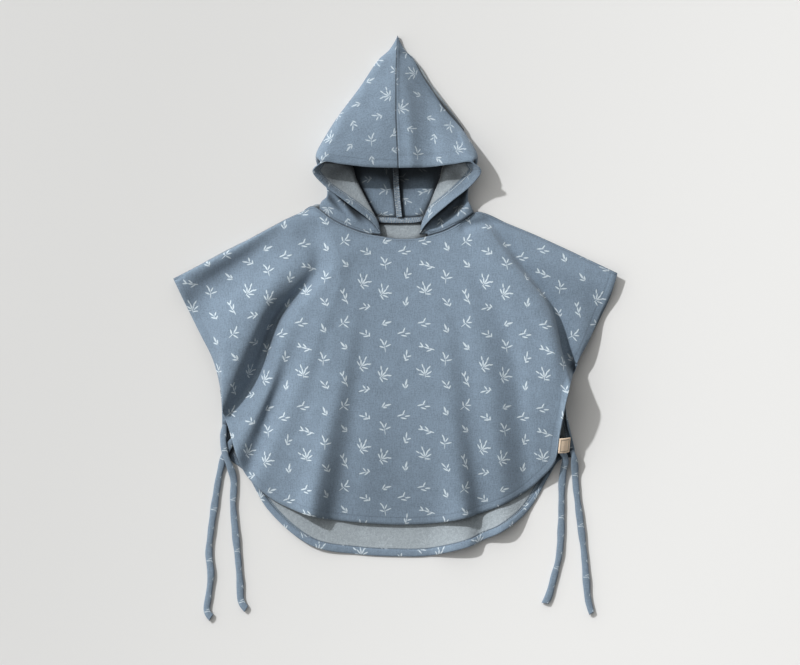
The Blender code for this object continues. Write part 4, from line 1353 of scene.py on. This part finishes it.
class PONCHO_OT_stage(bpy.types.Operator):
    """Floor, light and camera"""

    bl_idname = "poncho.stage"
    bl_label = "Stage"

    def execute(self, context):
        scene, stage = context.scene, context.scene.poncho_stage
        scene.view_settings.view_transform = "Standard"
        self.add_floor(scene.poncho_colours.floor)
        scene.world = self.new_sky(stage.sky)
        lamp = bpy.data.lights.new("sun", "SUN")
        lamp.energy, lamp.angle, lamp.color = stage.sun, stage.sun_size, SUN_COLOUR
        sun = bpy.data.objects.new("sun", lamp)
        level = math.cos(stage.sun_height)
        travel = Vector((math.cos(stage.sun_heading) * level, math.sin(stage.sun_heading) * level,
                         -math.sin(stage.sun_height)))
        sun.rotation_euler = travel.to_track_quat("-Z", "Y").to_euler()
        eye = bpy.data.cameras.new("camera")
        eye.sensor_width = SENSOR
        eye.lens = SENSOR * stage.camera_height / VIEW_WIDTH
        camera = bpy.data.objects.new("camera", eye)
        camera.location = (*VIEW_MIDDLE, stage.camera_height)
        for thing in (sun, camera):
            scene.collection.objects.link(thing)
        scene.camera = camera
        return {"FINISHED"}

    def add_floor(self, colour):
        """A wide floor with painted light: its colour is a little lighter towards the lower right."""
        bpy.ops.mesh.primitive_plane_add(size=8.0, location=(0, 0, 0))
        floor = bpy.context.object
        floor.name = "floor"
        tree, shader = new_material("pale floor", 0.9, 0.0)
        x, y, _ = parts_of(Value(node(tree, "ShaderNodeTexCoord").outputs["Object"]))
        dim, bright = (shade(colour, share) for share in FLOOR_PAINTED_LIGHT)
        # Painted light: the floor's colour brightens towards the lower right
        feed(shader.inputs["Base Color"], mixed(ramp(x + y * -0.35, -0.55, 0.6), dim, bright))
        floor.data.materials.append(bpy.data.materials["pale floor"])

    def new_sky(self, strength):
        """A sky that is brighter on one side."""
        world = bpy.data.worlds.new("studio")
        world.use_nodes = True
        tree, sky = world.node_tree, world.node_tree.nodes["Background"]
        outwards = Value(node(tree, "ShaderNodeTexCoord").outputs["Generated"])
        facing = node(tree, "ShaderNodeVectorMath", outwards, SKY_DIRECTION, operation="DOT_PRODUCT")
        feed(sky.inputs["Color"], SKY_COLOUR)
        feed(sky.inputs["Strength"], ramp(Value(facing.outputs["Value"]), -0.9, 0.9,
                                          *(strength * share for share in SKY_SHARES)))
        return world


class PONCHO_PT_panel(bpy.types.Panel):
    """The garment's sizes, colours and pieces"""

    bl_idname = "PONCHO_PT_panel"
    bl_label = "Hooded bath poncho"
    bl_space_type = "VIEW_3D"
    bl_region_type = "UI"
    bl_category = "Poncho"

    def draw(self, context):
        layout = self.layout
        scene = context.scene
        for title, group in (("Sizes", scene.poncho_sizes), ("Colours", scene.poncho_colours),
                             ("Stage", scene.poncho_stage)):
            box = layout.box()
            box.label(text=title)
            for name in type(group).__annotations__:
                box.prop(group, name)
        for operator in OPERATORS:
            layout.operator(operator.bl_idname)


OPERATORS = (PONCHO_OT_back, PONCHO_OT_front, PONCHO_OT_hood, PONCHO_OT_lining, PONCHO_OT_overlock,
             PONCHO_OT_ties, PONCHO_OT_label, PONCHO_OT_painted_fold_shade, PONCHO_OT_stage)
GROUPS = {"poncho_sizes": PonchoSizes, "poncho_colours": PonchoColours, "poncho_stage": PonchoStage}


def register():
    for group in GROUPS.values():
        bpy.utils.register_class(group)
    for name, group in GROUPS.items():
        setattr(bpy.types.Scene, name, PointerProperty(type=group))
    for operator in OPERATORS:
        bpy.utils.register_class(operator)
    bpy.utils.register_class(PONCHO_PT_panel)


def unregister():
    bpy.utils.unregister_class(PONCHO_PT_panel)
    for operator in reversed(OPERATORS):
        bpy.utils.unregister_class(operator)
    for name in GROUPS:
        delattr(bpy.types.Scene, name)
    for group in reversed(GROUPS.values()):
        bpy.utils.unregister_class(group)


def plain(box):
    """Bounds as plain lists of numbers."""
    return [[float(part) for part in corner] for corner in box]


def main():
    register()
    bpy.ops.poncho.back()
    bpy.ops.poncho.front()
    bpy.ops.poncho.hood()
    bpy.ops.poncho.lining()
    bpy.ops.poncho.overlock()
    bpy.ops.poncho.ties()
    bpy.ops.poncho.label()
    bpy.ops.poncho.depth()
    bpy.ops.poncho.stage()


if __name__ == "__main__":
    main()
